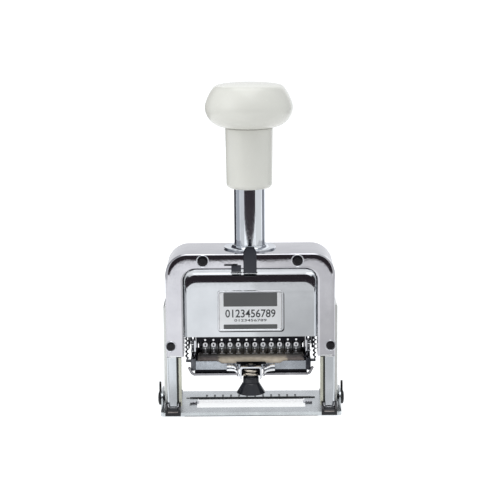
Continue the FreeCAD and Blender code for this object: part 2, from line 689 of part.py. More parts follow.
def flange():
    """A dished collar that holds the barrel on the casting."""
    bore = BARREL_RADIUS
    z0 = CASTING_TOP
    points = [V(bore, 0, z0), V(FLANGE_RADIUS, 0, z0), V(FLANGE_RADIUS, 0, z0 + FLANGE_RIM),
              V(FLANGE_COLLAR_RADIUS, 0, z0 + FLANGE_RIM), V(bore, 0, z0 + FLANGE_HEIGHT)]
    outline = [line(points[n], points[(n + 1) % len(points)]) for n in range(len(points))]
    return turned(outline)


def barrel():
    outer = along_z(BARREL_RADIUS, CASTING_TOP, BARREL_TOP)
    inner = along_z(BARREL_RADIUS - BARREL_WALL, CASTING_TOP + FLANGE_RIM, BARREL_TOP + OVERRUN)
    bore = along_z(ROD_RADIUS + ROD_BORE_GAP, CASTING_TOP - OVERRUN, BARREL_TOP)
    tube = outer.cut(inner).cut(bore)
    return tube


def rail(side):
    """The inner strip of a leg that guides the moving unit."""
    front = CASTING_FRONT + LEG_RAIL_BACKSET
    return block(side * LEG_RAIL_IN, side * (LEG_RAIL_IN + LEG_RAIL_WIDTH), front,
                 front + LEG_RAIL_DEPTH, LEG_FOOT, CASTING_FOOT)


def leg(side):
    """A pressed channel: front, web and back, with a rib outside the casting."""
    skin = block(side * LEG_FACE_IN, side * LEG_OUT, -CASTING_HALF_DEPTH, CASTING_HALF_DEPTH,
                 LEG_FOOT, CASTING_FOOT)
    skin = rounded(skin, LEG_FOOT_CORNER,
                   lambda e: runs_along(e, Y_AXIS) and middle(e).z < CASTING_FOOT / 2
                   and abs(middle(e).x) > (LEG_FACE_IN + LEG_OUT) / 2)
    inside = block(side * (LEG_FACE_IN - OVERRUN), side * (LEG_OUT - LEG_SHEET),
                   -CASTING_HALF_DEPTH + LEG_SHEET, CASTING_HALF_DEPTH - LEG_SHEET,
                   LEG_FOOT + LEG_SHEET, CASTING_FOOT - LEG_SHEET)
    skin = skin.cut(inside)
    rib = block(side * (CASTING_HALF_WIDTH + GLIDE_GAP / 2), side * RIB_OUT, -RIB_HALF_DEPTH,
                RIB_HALF_DEPTH, LEG_FOOT, RIB_TOP)
    rib = rounded(rib, RIB_CORNER, lambda e: runs_along(e, X_AXIS) and middle(e).z > CASTING_FOOT)
    depth = CASTING_HALF_DEPTH - TOP_WALL
    tongue = block(side * (PILLAR_POCKET_IN + GLIDE_GAP), side * (PILLAR_POCKET_OUT - GLIDE_GAP),
                   -depth, depth, CASTING_FOOT - LEG_SHEET, CASTING_FOOT + TONGUE_HEIGHT)
    hollow_depth = depth - LEG_SHEET
    hollow = block(side * (PILLAR_POCKET_IN - OVERRUN), side * (PILLAR_POCKET_OUT + OVERRUN),
                   -hollow_depth, hollow_depth, CASTING_FOOT, CASTING_FOOT + TONGUE_HEIGHT + OVERRUN)
    tongue = tongue.cut(hollow)
    channel = skin.fuse(rib).fuse(tongue)
    bridge_x = side * (LEG_RAIL_IN + LEG_RAIL_WIDTH)
    bridge = block(side * LEG_RAIL_IN, side * LEG_FACE_IN, -SIDE_PLATE_HALF_DEPTH,
                   SIDE_PLATE_HALF_DEPTH, CASTING_FOOT - LEG_SHEET, CASTING_FOOT)
    foot_bridge = block(side * LEG_RAIL_IN, side * LEG_FACE_IN, CASTING_FRONT + LEG_RAIL_BACKSET,
                        -CASTING_FRONT - LEG_RAIL_BACKSET, LEG_FOOT, LEG_FOOT + LEG_SHEET)
    back_rail = rail(side).mirror(ORIGIN, Y_AXIS)
    top_strip = block(side * LEG_RAIL_IN, bridge_x, CASTING_FRONT + LEG_RAIL_BACKSET,
                      -CASTING_FRONT - LEG_RAIL_BACKSET, CASTING_FOOT - LEG_SHEET, CASTING_FOOT)
    channel = channel.fuse(rail(side)).fuse(back_rail).fuse(bridge).fuse(top_strip)
    channel = channel.fuse(foot_bridge)
    screw = along_y(SCREW_SHANK / 2, CASTING_FRONT, 0, side * LEG_SCREW_X, LEG_SCREW_Z)
    pin = along_x(SIDE_KNOB_PIN_RADIUS + SHAFT_GAP, side * LEG_FACE_IN, side * (RIB_OUT + OVERRUN),
                  SIDE_KNOB_Y, SIDE_KNOB_Z)
    return channel.cut(screw).cut(pin).removeSplitter()


def screws(x, z, head):
    """The pair of black screws at one height."""
    seat_y = CASTING_FRONT + SCREW_HEAD_HEIGHT
    pair = [socket_screw(V(side * x, seat_y, z), head / 2, SCREW_HEAD_HEIGHT)
            for side in SIDES.values()]
    return Part.makeCompound(pair)


def buffer_pads():
    """Soft stops in the roof of the casting, over the moving unit."""
    roof = CASTING_TOP - TOP_WALL
    pads = []
    for side in SIDES.values():
        x = side * TOP_SCREW_X
        pads.append(block(x - ROD_NUT_RADIUS, x + ROD_NUT_RADIUS, -RUNNER_HALF_DEPTH,
                          RUNNER_HALF_DEPTH, FRAME_TOP_RISE + SEAT_GAP, roof))
    return Part.makeCompound(pads)


# Press knob and plunger

def knob_head():
    top = V(0, 0, HEAD_TOP)
    shoulder = V(HEAD_SHOULDER_RADIUS, 0, HEAD_SHOULDER_Z)
    crown = V(HEAD_SHOULDER_RADIUS * CROWN_SHARES[0], 0, HEAD_TOP - HEAD_CROWN * CROWN_SHARES[1])
    wide = V(HEAD_WIDE_RADIUS, 0, HEAD_WIDE_Z)
    drop = HEAD_SHOULDER_Z - HEAD_WIDE_Z
    reach = HEAD_WIDE_RADIUS - HEAD_SHOULDER_RADIUS
    flank = V(HEAD_SHOULDER_RADIUS + reach * FLANK_SHARES[0], 0,
              HEAD_WIDE_Z + drop * FLANK_SHARES[1])
    foot = V(HEAD_BOTTOM_RADIUS, 0, HEAD_BOTTOM)
    belly = V(HEAD_BOTTOM_RADIUS + (HEAD_WIDE_RADIUS - HEAD_BOTTOM_RADIUS) * BELLY_SHARES[0], 0,
              HEAD_BOTTOM + (HEAD_WIDE_Z - HEAD_BOTTOM) * BELLY_SHARES[1])
    centre_foot = V(0, 0, HEAD_BOTTOM)
    outline = [arc(top, crown, shoulder), arc(shoulder, flank, wide), arc(wide, belly, foot),
               line(foot, centre_foot), line(centre_foot, top)]
    head = turned(outline)
    cavity = along_z(BARREL_RADIUS + SLIDE_GAP, HEAD_BOTTOM - OVERRUN, HEAD_CAVITY_TOP)
    neck = along_z(SKIRT_NECK_RADIUS, HEAD_BOTTOM - OVERRUN, HEAD_BOTTOM + SKIRT_NECK_HEIGHT)
    socket = along_z(ROD_RADIUS, HEAD_CAVITY_TOP - OVERRUN, HEAD_CAVITY_TOP + ROD_NUT_HEIGHT)
    return head.cut(cavity).cut(neck).cut(socket)


def knob_skirt():
    foot = V(SKIRT_FOOT_RADIUS, 0, SKIRT_FOOT)
    bore = BARREL_RADIUS + SLIDE_GAP
    points = [V(bore, 0, SKIRT_FOOT), foot, V(SKIRT_RADIUS, 0, HEAD_BOTTOM),
              V(SKIRT_NECK_RADIUS, 0, HEAD_BOTTOM),
              V(SKIRT_NECK_RADIUS, 0, HEAD_BOTTOM + SKIRT_NECK_HEIGHT),
              V(bore, 0, HEAD_BOTTOM + SKIRT_NECK_HEIGHT)]
    outline = [line(points[n], points[(n + 1) % len(points)]) for n in range(len(points))]
    skirt = turned(outline)
    return rounded(skirt, SKIRT_EDGE, lambda e: len(e.Vertexes) == 1
                   and abs(e.Vertexes[0].Z - SKIRT_FOOT) < SAME
                   and abs(e.Curve.Radius - SKIRT_FOOT_RADIUS) < SAME)


def plunger_rod():
    top = HEAD_CAVITY_TOP + ROD_NUT_HEIGHT
    shaft = along_z(ROD_RADIUS, FRAME_TOP_UNDER - ROD_NUT_HEIGHT, top)
    return shaft


def rod_nut():
    """The nut under the top of the inner frame."""
    points = []
    for n in range(6):
        angle = math.pi * n / 3
        points.append(V(ROD_NUT_RADIUS * math.cos(angle), ROD_NUT_RADIUS * math.sin(angle),
                        FRAME_TOP_UNDER - ROD_NUT_HEIGHT))
    body = prism(points, V(0, 0, ROD_NUT_HEIGHT))
    return body.cut(along_z(ROD_RADIUS, FRAME_TOP_UNDER - OVERRUN, FRAME_TOP_UNDER + OVERRUN))


def main_spring():
    return spring(MAIN_SPRING_WIRE, MAIN_SPRING_RADIUS, MAIN_SPRING_TURNS,
                  CASTING_TOP + FLANGE_RIM, HEAD_CAVITY_TOP)


# Inner frame

def inner_frame():
    """A top plate, two side plates with runners, two cheeks for the shaft, a back."""
    body = block(-SIDE_PLATE_OUT, SIDE_PLATE_OUT, -FRAME_TOP_HALF_DEPTH, FRAME_TOP_HALF_DEPTH,
                 FRAME_TOP_UNDER, FRAME_TOP_RISE)
    for side in SIDES.values():
        wall = block(side * SIDE_PLATE_IN, side * SIDE_PLATE_OUT, -SIDE_PLATE_HALF_DEPTH,
                     SIDE_PLATE_HALF_DEPTH, PANEL_FOOT + PIVOT_RISE, FRAME_SHOULDER)
        upper = block(side * SIDE_PLATE_IN, side * SIDE_PLATE_OUT, -FRAME_TOP_HALF_DEPTH,
                      FRAME_TOP_HALF_DEPTH, FRAME_SHOULDER, FRAME_TOP_RISE)
        tongue = along_x(SIDE_PLATE_FOOT_RADIUS, side * SIDE_PLATE_IN, side * SIDE_PLATE_OUT)
        web = block(side * SIDE_PLATE_IN, side * SIDE_PLATE_OUT, -SIDE_PLATE_FOOT_RADIUS,
                    SIDE_PLATE_FOOT_RADIUS, WHEEL_AXIS_Z, PANEL_FOOT + PIVOT_RISE)
        runner = block(side * SIDE_PLATE_OUT, side * (OPENING_HALF_WIDTH - SLIDE_GAP),
                       -RUNNER_HALF_DEPTH, RUNNER_HALF_DEPTH, RUNNER_FOOT, RUNNER_TOP)
        body = body.fuse(wall).fuse(upper).fuse(tongue).fuse(web).fuse(runner).fuse(cheek_plate(side))
    back = block(-SIDE_PLATE_IN, SIDE_PLATE_IN, BACK_PLATE_Y, BACK_PLATE_Y + BACK_PLATE_THICKNESS,
                 BACK_PLATE_FOOT, FRAME_SHOULDER)
    body = body.fuse(back)
    body = body.cut(along_x(SHAFT_RADIUS, -SIDE_PLATE_IN, SIDE_PLATE_IN))
    body = body.cut(along_x(PIVOT_PIN_RADIUS, -SIDE_PLATE_OUT - OVERRUN, -ARM_IN, PIVOT.y, PIVOT.z))
    body = body.cut(along_x(PIVOT_PIN_RADIUS, ARM_IN, SIDE_PLATE_OUT + OVERRUN, PIVOT.y, PIVOT.z))
    body = body.cut(along_z(ROD_RADIUS, FRAME_TOP_UNDER - OVERRUN, FRAME_TOP_RISE + OVERRUN))
    return body.removeSplitter()


def cheek_plate(side):
    """A plate beside the wheels, narrow at the shaft and wide above."""
    x0 = side * CHEEK_PLATE_IN
    x1 = side * (CHEEK_PLATE_IN + CHEEK_PLATE_THICKNESS)
    foot = along_x(CHEEK_PLATE_FOOT_RADIUS, x0, x1)
    neck = block(x0, x1, -CHEEK_PLATE_FOOT_RADIUS, CHEEK_PLATE_FOOT_RADIUS, WHEEL_AXIS_Z,
                 CHEEK_PLATE_WIDE_Z)
    wide = block(x0, x1, -CHEEK_PLATE_WIDE_DEPTH, CHEEK_PLATE_WIDE_DEPTH, CHEEK_PLATE_WIDE_Z,
                 FRAME_SHOULDER)
    upper = block(x0, x1, -FRAME_TOP_HALF_DEPTH, FRAME_TOP_HALF_DEPTH, FRAME_SHOULDER,
                  FRAME_TOP_RISE)
    return foot.fuse(neck).fuse(wide).fuse(upper)


def panel_form(wall, low_edge):
    """The outer form of a panel, or its inner form at a wall's thickness."""
    half = PANEL_HALF_WIDTH - wall
    top = PANEL_TOP - wall
    face = -PANEL_FACE_Y + wall
    back = -PANEL_FACE_Y + PANEL_DEPTH + (OVERRUN if wall else 0)
    foot = low_edge - (OVERRUN if wall else 0)
    body = block(-half, half, face, back, foot, top)
    centre_z = (foot + top) / 2
    body = rounded(body, PANEL_CORNER - wall,
                   lambda e: runs_along(e, Y_AXIS) and middle(e).z > centre_z)
    rim = [e for e in body.Edges if abs(middle(e).y - face) < SAME
           and middle(e).z > (foot + centre_z) / 2]
    body = body.makeFillet(PANEL_SIDE_ROLL - wall / 2, rim)
    roll = PANEL_TOP_ROLL - wall
    low = V(-half, face, foot)
    bend_low = V(-half, face, top - roll)
    bend_mid = V(-half, face + roll * (1 - DIAGONAL), top - roll * (1 - DIAGONAL))
    bend_top = V(-half, face + roll, top)
    far_top = V(-half, back, top)
    far_low = V(-half, back, foot)
    outline = [line(low, bend_low), arc(bend_low, bend_mid, bend_top), line(bend_top, far_top),
               line(far_top, far_low), line(far_low, low)]
    return body.common(Part.Face(Part.Wire(outline)).extrude(V(2 * half, 0, 0)))


def front_panel():
    return panel_form(0, PANEL_FOOT).cut(panel_form(PANEL_WALL, PANEL_FOOT))


def back_panel():
    """A like cover over the back plate, short enough to leave the feed gear free."""
    shell = panel_form(0, BACK_PANEL_FOOT).cut(panel_form(PANEL_WALL, BACK_PANEL_FOOT))
    return shell.mirror(ORIGIN, Y_AXIS)


def label_plate():
    plate = block(-LABEL_HALF_WIDTH, LABEL_HALF_WIDTH, -PANEL_FACE_Y - LABEL_THICKNESS,
                  -PANEL_FACE_Y, LABEL_FOOT, LABEL_TOP)
    return rounded(plate, LABEL_CORNER, lambda e: runs_along(e, Y_AXIS))


def index_bar():
    """The dark bar over the wheels, hung from the panel's inside."""
    y0 = -INDEX_BAR_FRONT
    y1 = -INDEX_BAR_BACK
    bar = block(-INDEX_BAR_HALF_WIDTH, INDEX_BAR_HALF_WIDTH, y0, y1, INDEX_BAR_FOOT,
                PANEL_FOOT + PIVOT_RISE * 2)
    seat = block(-INDEX_BAR_HALF_WIDTH, INDEX_BAR_HALF_WIDTH, -PANEL_FACE_Y + PANEL_WALL, y1,
                 PANEL_FOOT + PIVOT_RISE, PANEL_FOOT + PIVOT_RISE * 2)
    return bar.fuse(seat).removeSplitter()


def index_dots():
    dots = []
    for n in range(WHEEL_COUNT):
        x = (n - (WHEEL_COUNT - 1) / 2) * WHEEL_PITCH
        dots.append(along_y(INDEX_DOT_DIAMETER / 2, -INDEX_BAR_FRONT - INDEX_DOT_HEIGHT,
                            -INDEX_BAR_FRONT, x, WHEEL_AXIS_Z))
    return Part.makeCompound(dots)


def wheel_shaft():
    half = CHEEK_PLATE_IN + CHEEK_PLATE_THICKNESS
    return along_x(SHAFT_RADIUS, -half, half)


def shaft_collars():
    """Collars on the shaft between the wheels and the arms of the swing frame."""
    last = (WHEEL_COUNT - 1) / 2 * WHEEL_PITCH + WHEEL_WIDTH / 2 + GLIDE_GAP
    starts = {"left": last, "right": last + RATCHET_WIDTH}
    collars = []
    for name, side in SIDES.items():
        ring = along_x(COLLAR_RADIUS, side * starts[name], side * (SWING_ARM_IN - GLIDE_GAP))
        collars.append(ring.cut(along_x(SHAFT_RADIUS, -SIDE_PLATE_OUT, SIDE_PLATE_OUT)))
    return Part.makeCompound(collars)


def pivot_pins():
    """Pins on the side plates that carry the arms of the pad holder."""
    return Part.makeCompound([along_x(PIVOT_PIN_RADIUS, side * ARM_IN, side * SIDE_PLATE_OUT,
                                      PIVOT.y, PIVOT.z) for side in SIDES.values()])


def pivot_spacers():
    """Rings on the pivot pins between the arms and the side plates."""
    rings = []
    for side in SIDES.values():
        start = side * (ARM_IN + ARM_THICKNESS + GLIDE_GAP)
        ring = along_x(SPACER_RADIUS, start, side * SIDE_PLATE_IN, PIVOT.y, PIVOT.z)
        rings.append(ring.cut(along_x(PIVOT_PIN_RADIUS, start, side * SIDE_PLATE_OUT,
                                      PIVOT.y, PIVOT.z)))
    return Part.makeCompound(rings)


def detent_comb():
    """A spring comb hung from the back plate, with a finger over each wheel."""
    y1 = BACK_PLATE_Y
    y0 = y1 - DETENT_THICKNESS
    foot = WHEEL_AXIS_Z + DETENT_TIP_RADIUS * DIAGONAL
    comb = block(-WHEEL_STACK_HALF, WHEEL_STACK_HALF, y0, y1, BACK_PLATE_FOOT, FRAME_SHOULDER)
    for n in range(WHEEL_COUNT):
        x = (n - (WHEEL_COUNT - 1) / 2) * WHEEL_PITCH
        finger = block(x - DETENT_WIDTH / 2, x + DETENT_WIDTH / 2, y0, y1, foot, BACK_PLATE_FOOT)
        comb = comb.fuse(finger)
    return comb.removeSplitter()


# Number wheels

def number_wheel(index):
    """A drum with ten flats, a raised block on each, and a ratchet on its right."""
    centre = (index - (WHEEL_COUNT - 1) / 2) * WHEEL_PITCH
    x0 = centre - WHEEL_WIDTH / 2
    step = 2 * math.pi / DIGIT_COUNT
    corner = WHEEL_BODY_RADIUS / math.cos(step / 2)
    points = []
    for n in range(DIGIT_COUNT):
        angle = step * n
        points.append(V(x0, corner * math.cos(angle), WHEEL_AXIS_Z + corner * math.sin(angle)))
    wheel = prism(points, V(WHEEL_WIDTH, 0, 0))
    for n in range(DIGIT_COUNT):
        raised = block(centre - DIGIT_WIDTH / 2, centre + DIGIT_WIDTH / 2, -DIGIT_HEIGHT / 2,
                       DIGIT_HEIGHT / 2, WHEEL_AXIS_Z - DIGIT_RADIUS,
                       WHEEL_AXIS_Z - WHEEL_BODY_RADIUS / 2)
        raised.rotate(AXIS, X_AXIS, 360 * n / DIGIT_COUNT)
        wheel = wheel.fuse(raised)
    teeth = []
    for n in range(DIGIT_COUNT):
        for radius, turn in ((RATCHET_RADIUS, n), (RATCHET_ROOT, n + RATCHET_STEP_SHARE)):
            angle = step * turn
            teeth.append(V(x0 + WHEEL_WIDTH, radius * math.cos(angle),
                           WHEEL_AXIS_Z + radius * math.sin(angle)))
    wheel = wheel.fuse(prism(teeth, V(RATCHET_WIDTH, 0, 0)))
    return wheel.cut(along_x(SHAFT_RADIUS + SHAFT_GAP, x0 - OVERRUN, x0 + WHEEL_PITCH + OVERRUN))


# Feed gear

def swing_frame():
    """Two arms on the shaft and a broad bar behind the wheels."""
    inner = SWING_BAR_RADIUS
    outer = inner + SWING_BAR_THICKNESS
    out = SWING_ARM_IN + SWING_ARM_THICKNESS
    body = block(-out, out, inner, outer, WHEEL_AXIS_Z - SWING_BAR_HALF_HEIGHT,
                 WHEEL_AXIS_Z + SWING_BAR_HALF_HEIGHT)
    for side in SIDES.values():
        eye = along_x(SWING_EYE_RADIUS, side * SWING_ARM_IN, side * out)
        arm = block(side * SWING_ARM_IN, side * out, 0, outer, WHEEL_AXIS_Z - SWING_ARM_HALF_HEIGHT,
                    WHEEL_AXIS_Z + SWING_ARM_HALF_HEIGHT)
        body = body.fuse(eye).fuse(arm)
    body = body.cut(along_x(SHAFT_RADIUS + SHAFT_GAP, -out - OVERRUN, out + OVERRUN))
    body.rotate(AXIS, X_AXIS, -SWING_REST_ANGLE)
    return body.removeSplitter()


def feed_pawls():
    """A stepped pawl on the bar behind each wheel."""
    pawls = []
    for n in range(WHEEL_COUNT):
        x = (n - (WHEEL_COUNT - 1) / 2) * WHEEL_PITCH
        pawls.append(block(x - PAWL_WIDTH / 2, x + PAWL_WIDTH / 2, PAWL_TIP_RADIUS, SWING_BAR_RADIUS,
                           WHEEL_AXIS_Z - PAWL_HALF_HEIGHT, WHEEL_AXIS_Z + PAWL_HALF_HEIGHT))
    group = Part.makeCompound(pawls)
    group.rotate(AXIS, X_AXIS, -SWING_REST_ANGLE)
    return group


# Pad holder

def pad_arm(side):
    """A flat arm from the pivot down to the tray, with a cheek outside it."""
    x0 = side * ARM_IN
    x1 = side * (ARM_IN + ARM_THICKNESS)
    front = PIVOT.y + ARM_FRONT_SETBACK
    eye = along_x(ARM_EYE_RADIUS, x0, x1, PIVOT.y, PIVOT.z)
    bar = block(x0, x1, front, front + ARM_WIDTH, TRAY_WALL_TOP, PIVOT.z)
    foot = block(x0, x1, -TRAY_FRONT, TRAY_REAR, TRAY_REAR_FOOT, TRAY_WALL_TOP)
    cheek = block(x1, side * CHEEK_OUT, -TRAY_FRONT, front + ARM_WIDTH, TRAY_FOOT, CHEEK_TOP)
    cheek = rounded(cheek, CHEEK_CORNER, lambda e: runs_along(e, X_AXIS)
                    and middle(e).z < TRAY_FOOT + CHEEK_CORNER)
    arm = eye.fuse(bar).fuse(foot).fuse(cheek)
    return arm.cut(along_x(PIVOT_PIN_RADIUS + SHAFT_GAP, x0, x1, PIVOT.y, PIVOT.z))


def pad_tray():
    """The pressed tray under the felt pad, with its two arms and front lip."""
    half = ARM_IN + ARM_THICKNESS / 2
    floor_top = PAD_TOP - PAD_THICKNESS
    floor = block(-half, half, -TRAY_FRONT, TRAY_REAR, floor_top - TRAY_SHEET, floor_top)
    wall = block(-half, half, -TRAY_FRONT, -TRAY_FRONT + TRAY_SHEET, LIP_FOOT, TRAY_WALL_TOP)
    notch_half = NOTCH_HALF_WIDTH
    notch_foot = NOTCH_FOOT
    notch = prism([V(-notch_half, -TRAY_FRONT, TRAY_WALL_TOP), V(notch_half, -TRAY_FRONT,
                   TRAY_WALL_TOP), V(notch_half - NOTCH_SLANT, -TRAY_FRONT, notch_foot),
                   V(NOTCH_SLANT - notch_half, -TRAY_FRONT, notch_foot)], V(0, TRAY_SHEET, 0))
    rear = block(-half, half, TRAY_REAR - TRAY_SHEET, TRAY_REAR, TRAY_REAR_FOOT, TRAY_WALL_TOP)
    bay = block(-LIP_GAP_HALF_WIDTH, LIP_GAP_HALF_WIDTH, -LIP_FRONT, -TRAY_FRONT + TRAY_SHEET,
                LIP_FOOT, BAY_TOP)
    lip = block(-LIP_HALF_WIDTH, LIP_HALF_WIDTH, -LIP_FRONT, -TRAY_FRONT + TRAY_SHEET,
                LIP_FOOT, LIP_TOP)
    lip = rounded(lip, LIP_CORNER, lambda e: runs_along(e, Z_AXIS) and middle(e).y < -TRAY_FRONT)
    tray = floor.fuse(wall.cut(notch)).fuse(rear).fuse(lip).cut(bay)
    for side in SIDES.values():
        post_foot = block(side * (CHEEK_OUT - TRAY_SHEET), side * (POST_X + SIDE_SPRING_RADIUS),
                          POST_Y - POST_FOOT_HALF_DEPTH, POST_Y + POST_FOOT_HALF_DEPTH,
                          POST_FOOT - POST_FOOT_THICKNESS, POST_FOOT)
        post = along_z(POST_RADIUS, POST_FOOT, POST_TOP, side * POST_X, POST_Y)
        flap = block(side * LIP_GAP_HALF_WIDTH, side * (LIP_GAP_HALF_WIDTH + TRAY_SHEET),
                     -LIP_FRONT - FLAP_REACH, -TRAY_FRONT - BRACKET_SHEET - GLIDE_GAP,
                     LIP_FOOT, FLAP_TOP)
        tray = tray.fuse(pad_arm(side)).fuse(post_foot).fuse(post).fuse(flap)
    return tray.removeSplitter()


def side_springs():
    coils = [spring(SIDE_SPRING_WIRE, SIDE_SPRING_RADIUS, SIDE_SPRING_TURNS, POST_FOOT,
                    POST_TOP, side * POST_X, POST_Y) for side in SIDES.values()]
    return Part.makeCompound(coils)


def felt_pad():
    """The ink pad; its crown is low, its front edge comes down at the notch."""
    return block(-PAD_HALF_WIDTH, PAD_HALF_WIDTH, -PAD_FRONT, PAD_REAR,
                 PAD_TOP - PAD_THICKNESS, PAD_TOP)


def pad_bracket():
    """A folded bracket on the tray's front wall that carries the release knob."""
    centre = -BRACKET_Y
    root = -TRAY_FRONT
    top = block(-BRACKET_OUT, BRACKET_OUT, centre - BRACKET_HALF_DEPTH, root,
                BRACKET_TOP - BRACKET_SHEET, BRACKET_TOP)
    body = top
    for side in SIDES.values():
        ear = block(side * BRACKET_IN, side * BRACKET_OUT, centre - BRACKET_HALF_DEPTH,
                    -LIP_FRONT - GLIDE_GAP, BRACKET_EAR_FOOT, BRACKET_TOP)
        upper = block(side * BRACKET_IN, side * BRACKET_OUT, centre, root, LIP_TOP + GLIDE_GAP,
                      BRACKET_TOP)
        wing = block(side * BRACKET_IN, side * BRACKET_WING_OUT, root - BRACKET_SHEET, root,
                     BRACKET_WING_FOOT, BRACKET_WING_TOP)
        curl = along_z(BRACKET_SHEET, BRACKET_WING_FOOT, BRACKET_WING_TOP,
                       side * BRACKET_WING_OUT, root - BRACKET_SHEET)
        body = body.fuse(ear).fuse(upper).fuse(wing).fuse(curl)
    bore = along_z(KNOB_STEM_RADIUS + SHAFT_GAP, BRACKET_EAR_FOOT, BRACKET_TOP + OVERRUN, 0, centre)
    return body.cut(bore).removeSplitter()


def release_knob():
    """A flared knob with a stem up through the bracket."""
    collar_foot = BRACKET_TOP + GLIDE_GAP
    wide = V(KNOB_WIDE_RADIUS, 0, KNOB_WIDE_Z)
    rim = V(KNOB_WIDE_RADIUS - KNOB_RIM / 2, 0, KNOB_FOOT)
    points = [rim, V(0, 0, KNOB_FOOT), V(0, 0, KNOB_STEM_TOP),
              V(KNOB_STEM_RADIUS, 0, KNOB_STEM_TOP),
              V(KNOB_STEM_RADIUS, 0, collar_foot + KNOB_COLLAR_HEIGHT),
              V(KNOB_COLLAR_RADIUS, 0, collar_foot + KNOB_COLLAR_HEIGHT),
              V(KNOB_COLLAR_RADIUS, 0, collar_foot), V(KNOB_STEM_RADIUS, 0, collar_foot),
              V(KNOB_STEM_RADIUS, 0, KNOB_NECK_TOP), V(KNOB_NECK_RADIUS, 0, KNOB_NECK_TOP),
              V(KNOB_NECK_RADIUS, 0, KNOB_NECK_FOOT), wide, rim]
    outline = [line(points[n], points[n + 1]) for n in range(len(points) - 1)]
    return turned(outline, 0, -BRACKET_Y)


def knob_spring():
    return spring(KNOB_SPRING_WIRE, KNOB_SPRING_RADIUS, KNOB_SPRING_TURNS, KNOB_NECK_TOP,
                  BRACKET_TOP - BRACKET_SHEET, 0, -BRACKET_Y)


# Small controls on the front of the casting

def stopper_tab():
    """A black tab with a rounded top and a stem through the casting's front wall."""
    back = CASTING_FRONT - GLIDE_GAP
    front = back - STOPPER_THICKNESS
    points = [V(-STOPPER_HALF_WIDTH, front, STOPPER_FOOT), V(STOPPER_HALF_WIDTH, front, STOPPER_FOOT),
              V(STOPPER_HALF_WIDTH, front, STOPPER_SHOULDER),
              V(STOPPER_TOP_HALF_WIDTH, front, STOPPER_TOP),
              V(-STOPPER_TOP_HALF_WIDTH, front, STOPPER_TOP),
              V(-STOPPER_HALF_WIDTH, front, STOPPER_SHOULDER)]
    tab = prism(points, V(0, STOPPER_THICKNESS, 0))
    inner = CASTING_FRONT + TOP_WALL + GLIDE_GAP
    half = STOPPER_STEM_HALF_WIDTH
    stem = block(-half, half, back, inner, STOPPER_STEM_TOP - STOPPER_STEM_HEIGHT, STOPPER_STEM_TOP)
    latch = block(-STOPPER_LATCH_HALF_WIDTH, STOPPER_LATCH_HALF_WIDTH, inner, inner + LATCH_THICKNESS,
                  STOPPER_STEM_TOP - LATCH_HEIGHT, STOPPER_STEM_TOP)
    return tab.fuse(stem).fuse(latch).removeSplitter()


def repeat_selector():
    """A small sliding tab beside the stopper, on a stem through the same wall."""
    back = CASTING_FRONT - GLIDE_GAP
    tab = block(-SELECTOR_OUT, -SELECTOR_IN, back - SELECTOR_THICKNESS, back, SELECTOR_FOOT,
                SELECTOR_TOP)
    inner = CASTING_FRONT + TOP_WALL + GLIDE_GAP
    stem = block(-SELECTOR_STEM_OUT, SELECTOR_STEM_LENGTH - SELECTOR_STEM_OUT, back, inner,
                 SELECTOR_TOP - SELECTOR_STEM_HEIGHT, SELECTOR_TOP)
    latch = block(-SELECTOR_STEM_OUT, SELECTOR_STEM_LENGTH - SELECTOR_STEM_OUT, inner,
                  inner + LATCH_THICKNESS, SELECTOR_TOP - SELECTOR_STEM_HEIGHT,
                  SELECTOR_TOP - SELECTOR_STEM_HEIGHT + SELECTOR_LATCH_HEIGHT)
    return tab.fuse(stem).fuse(latch).removeSplitter()


# Side knobs

def side_knob(side):
    """A knurled disc with a pointer above it and a pin through ear, rib and leg."""
    start = side * (EAR_OUT + GLIDE_GAP)
    end = start + side * SIDE_KNOB_WIDTH
    disc = knurled(SIDE_KNOB_RADIUS, start, end, SIDE_KNOB_Z, SIDE_KNOB_RIBS, SIDE_KNOB_RIB_RADIUS)
    disc.translate(V(0, SIDE_KNOB_Y, 0))
    tab = block(start, start + side * SIDE_TAB_WIDTH, SIDE_KNOB_Y - SIDE_TAB_HALF_DEPTH,
                SIDE_KNOB_Y + SIDE_TAB_HALF_DEPTH, SIDE_KNOB_Z,
                SIDE_KNOB_Z + SIDE_KNOB_RADIUS + SIDE_TAB_HEIGHT)
    pin = along_x(SIDE_KNOB_PIN_RADIUS, side * (LEG_OUT - LEG_SHEET), end, SIDE_KNOB_Y, SIDE_KNOB_Z)
    return disc.fuse(tab).fuse(pin).removeSplitter()


def write(name, shape):
    solids = len(shape.Solids)
    print(name, "solids", solids, "valid", shape.isValid(), "volume", round(shape.Volume, 2))
    shape.exportStep(os.path.join("parts", name + ".step"))


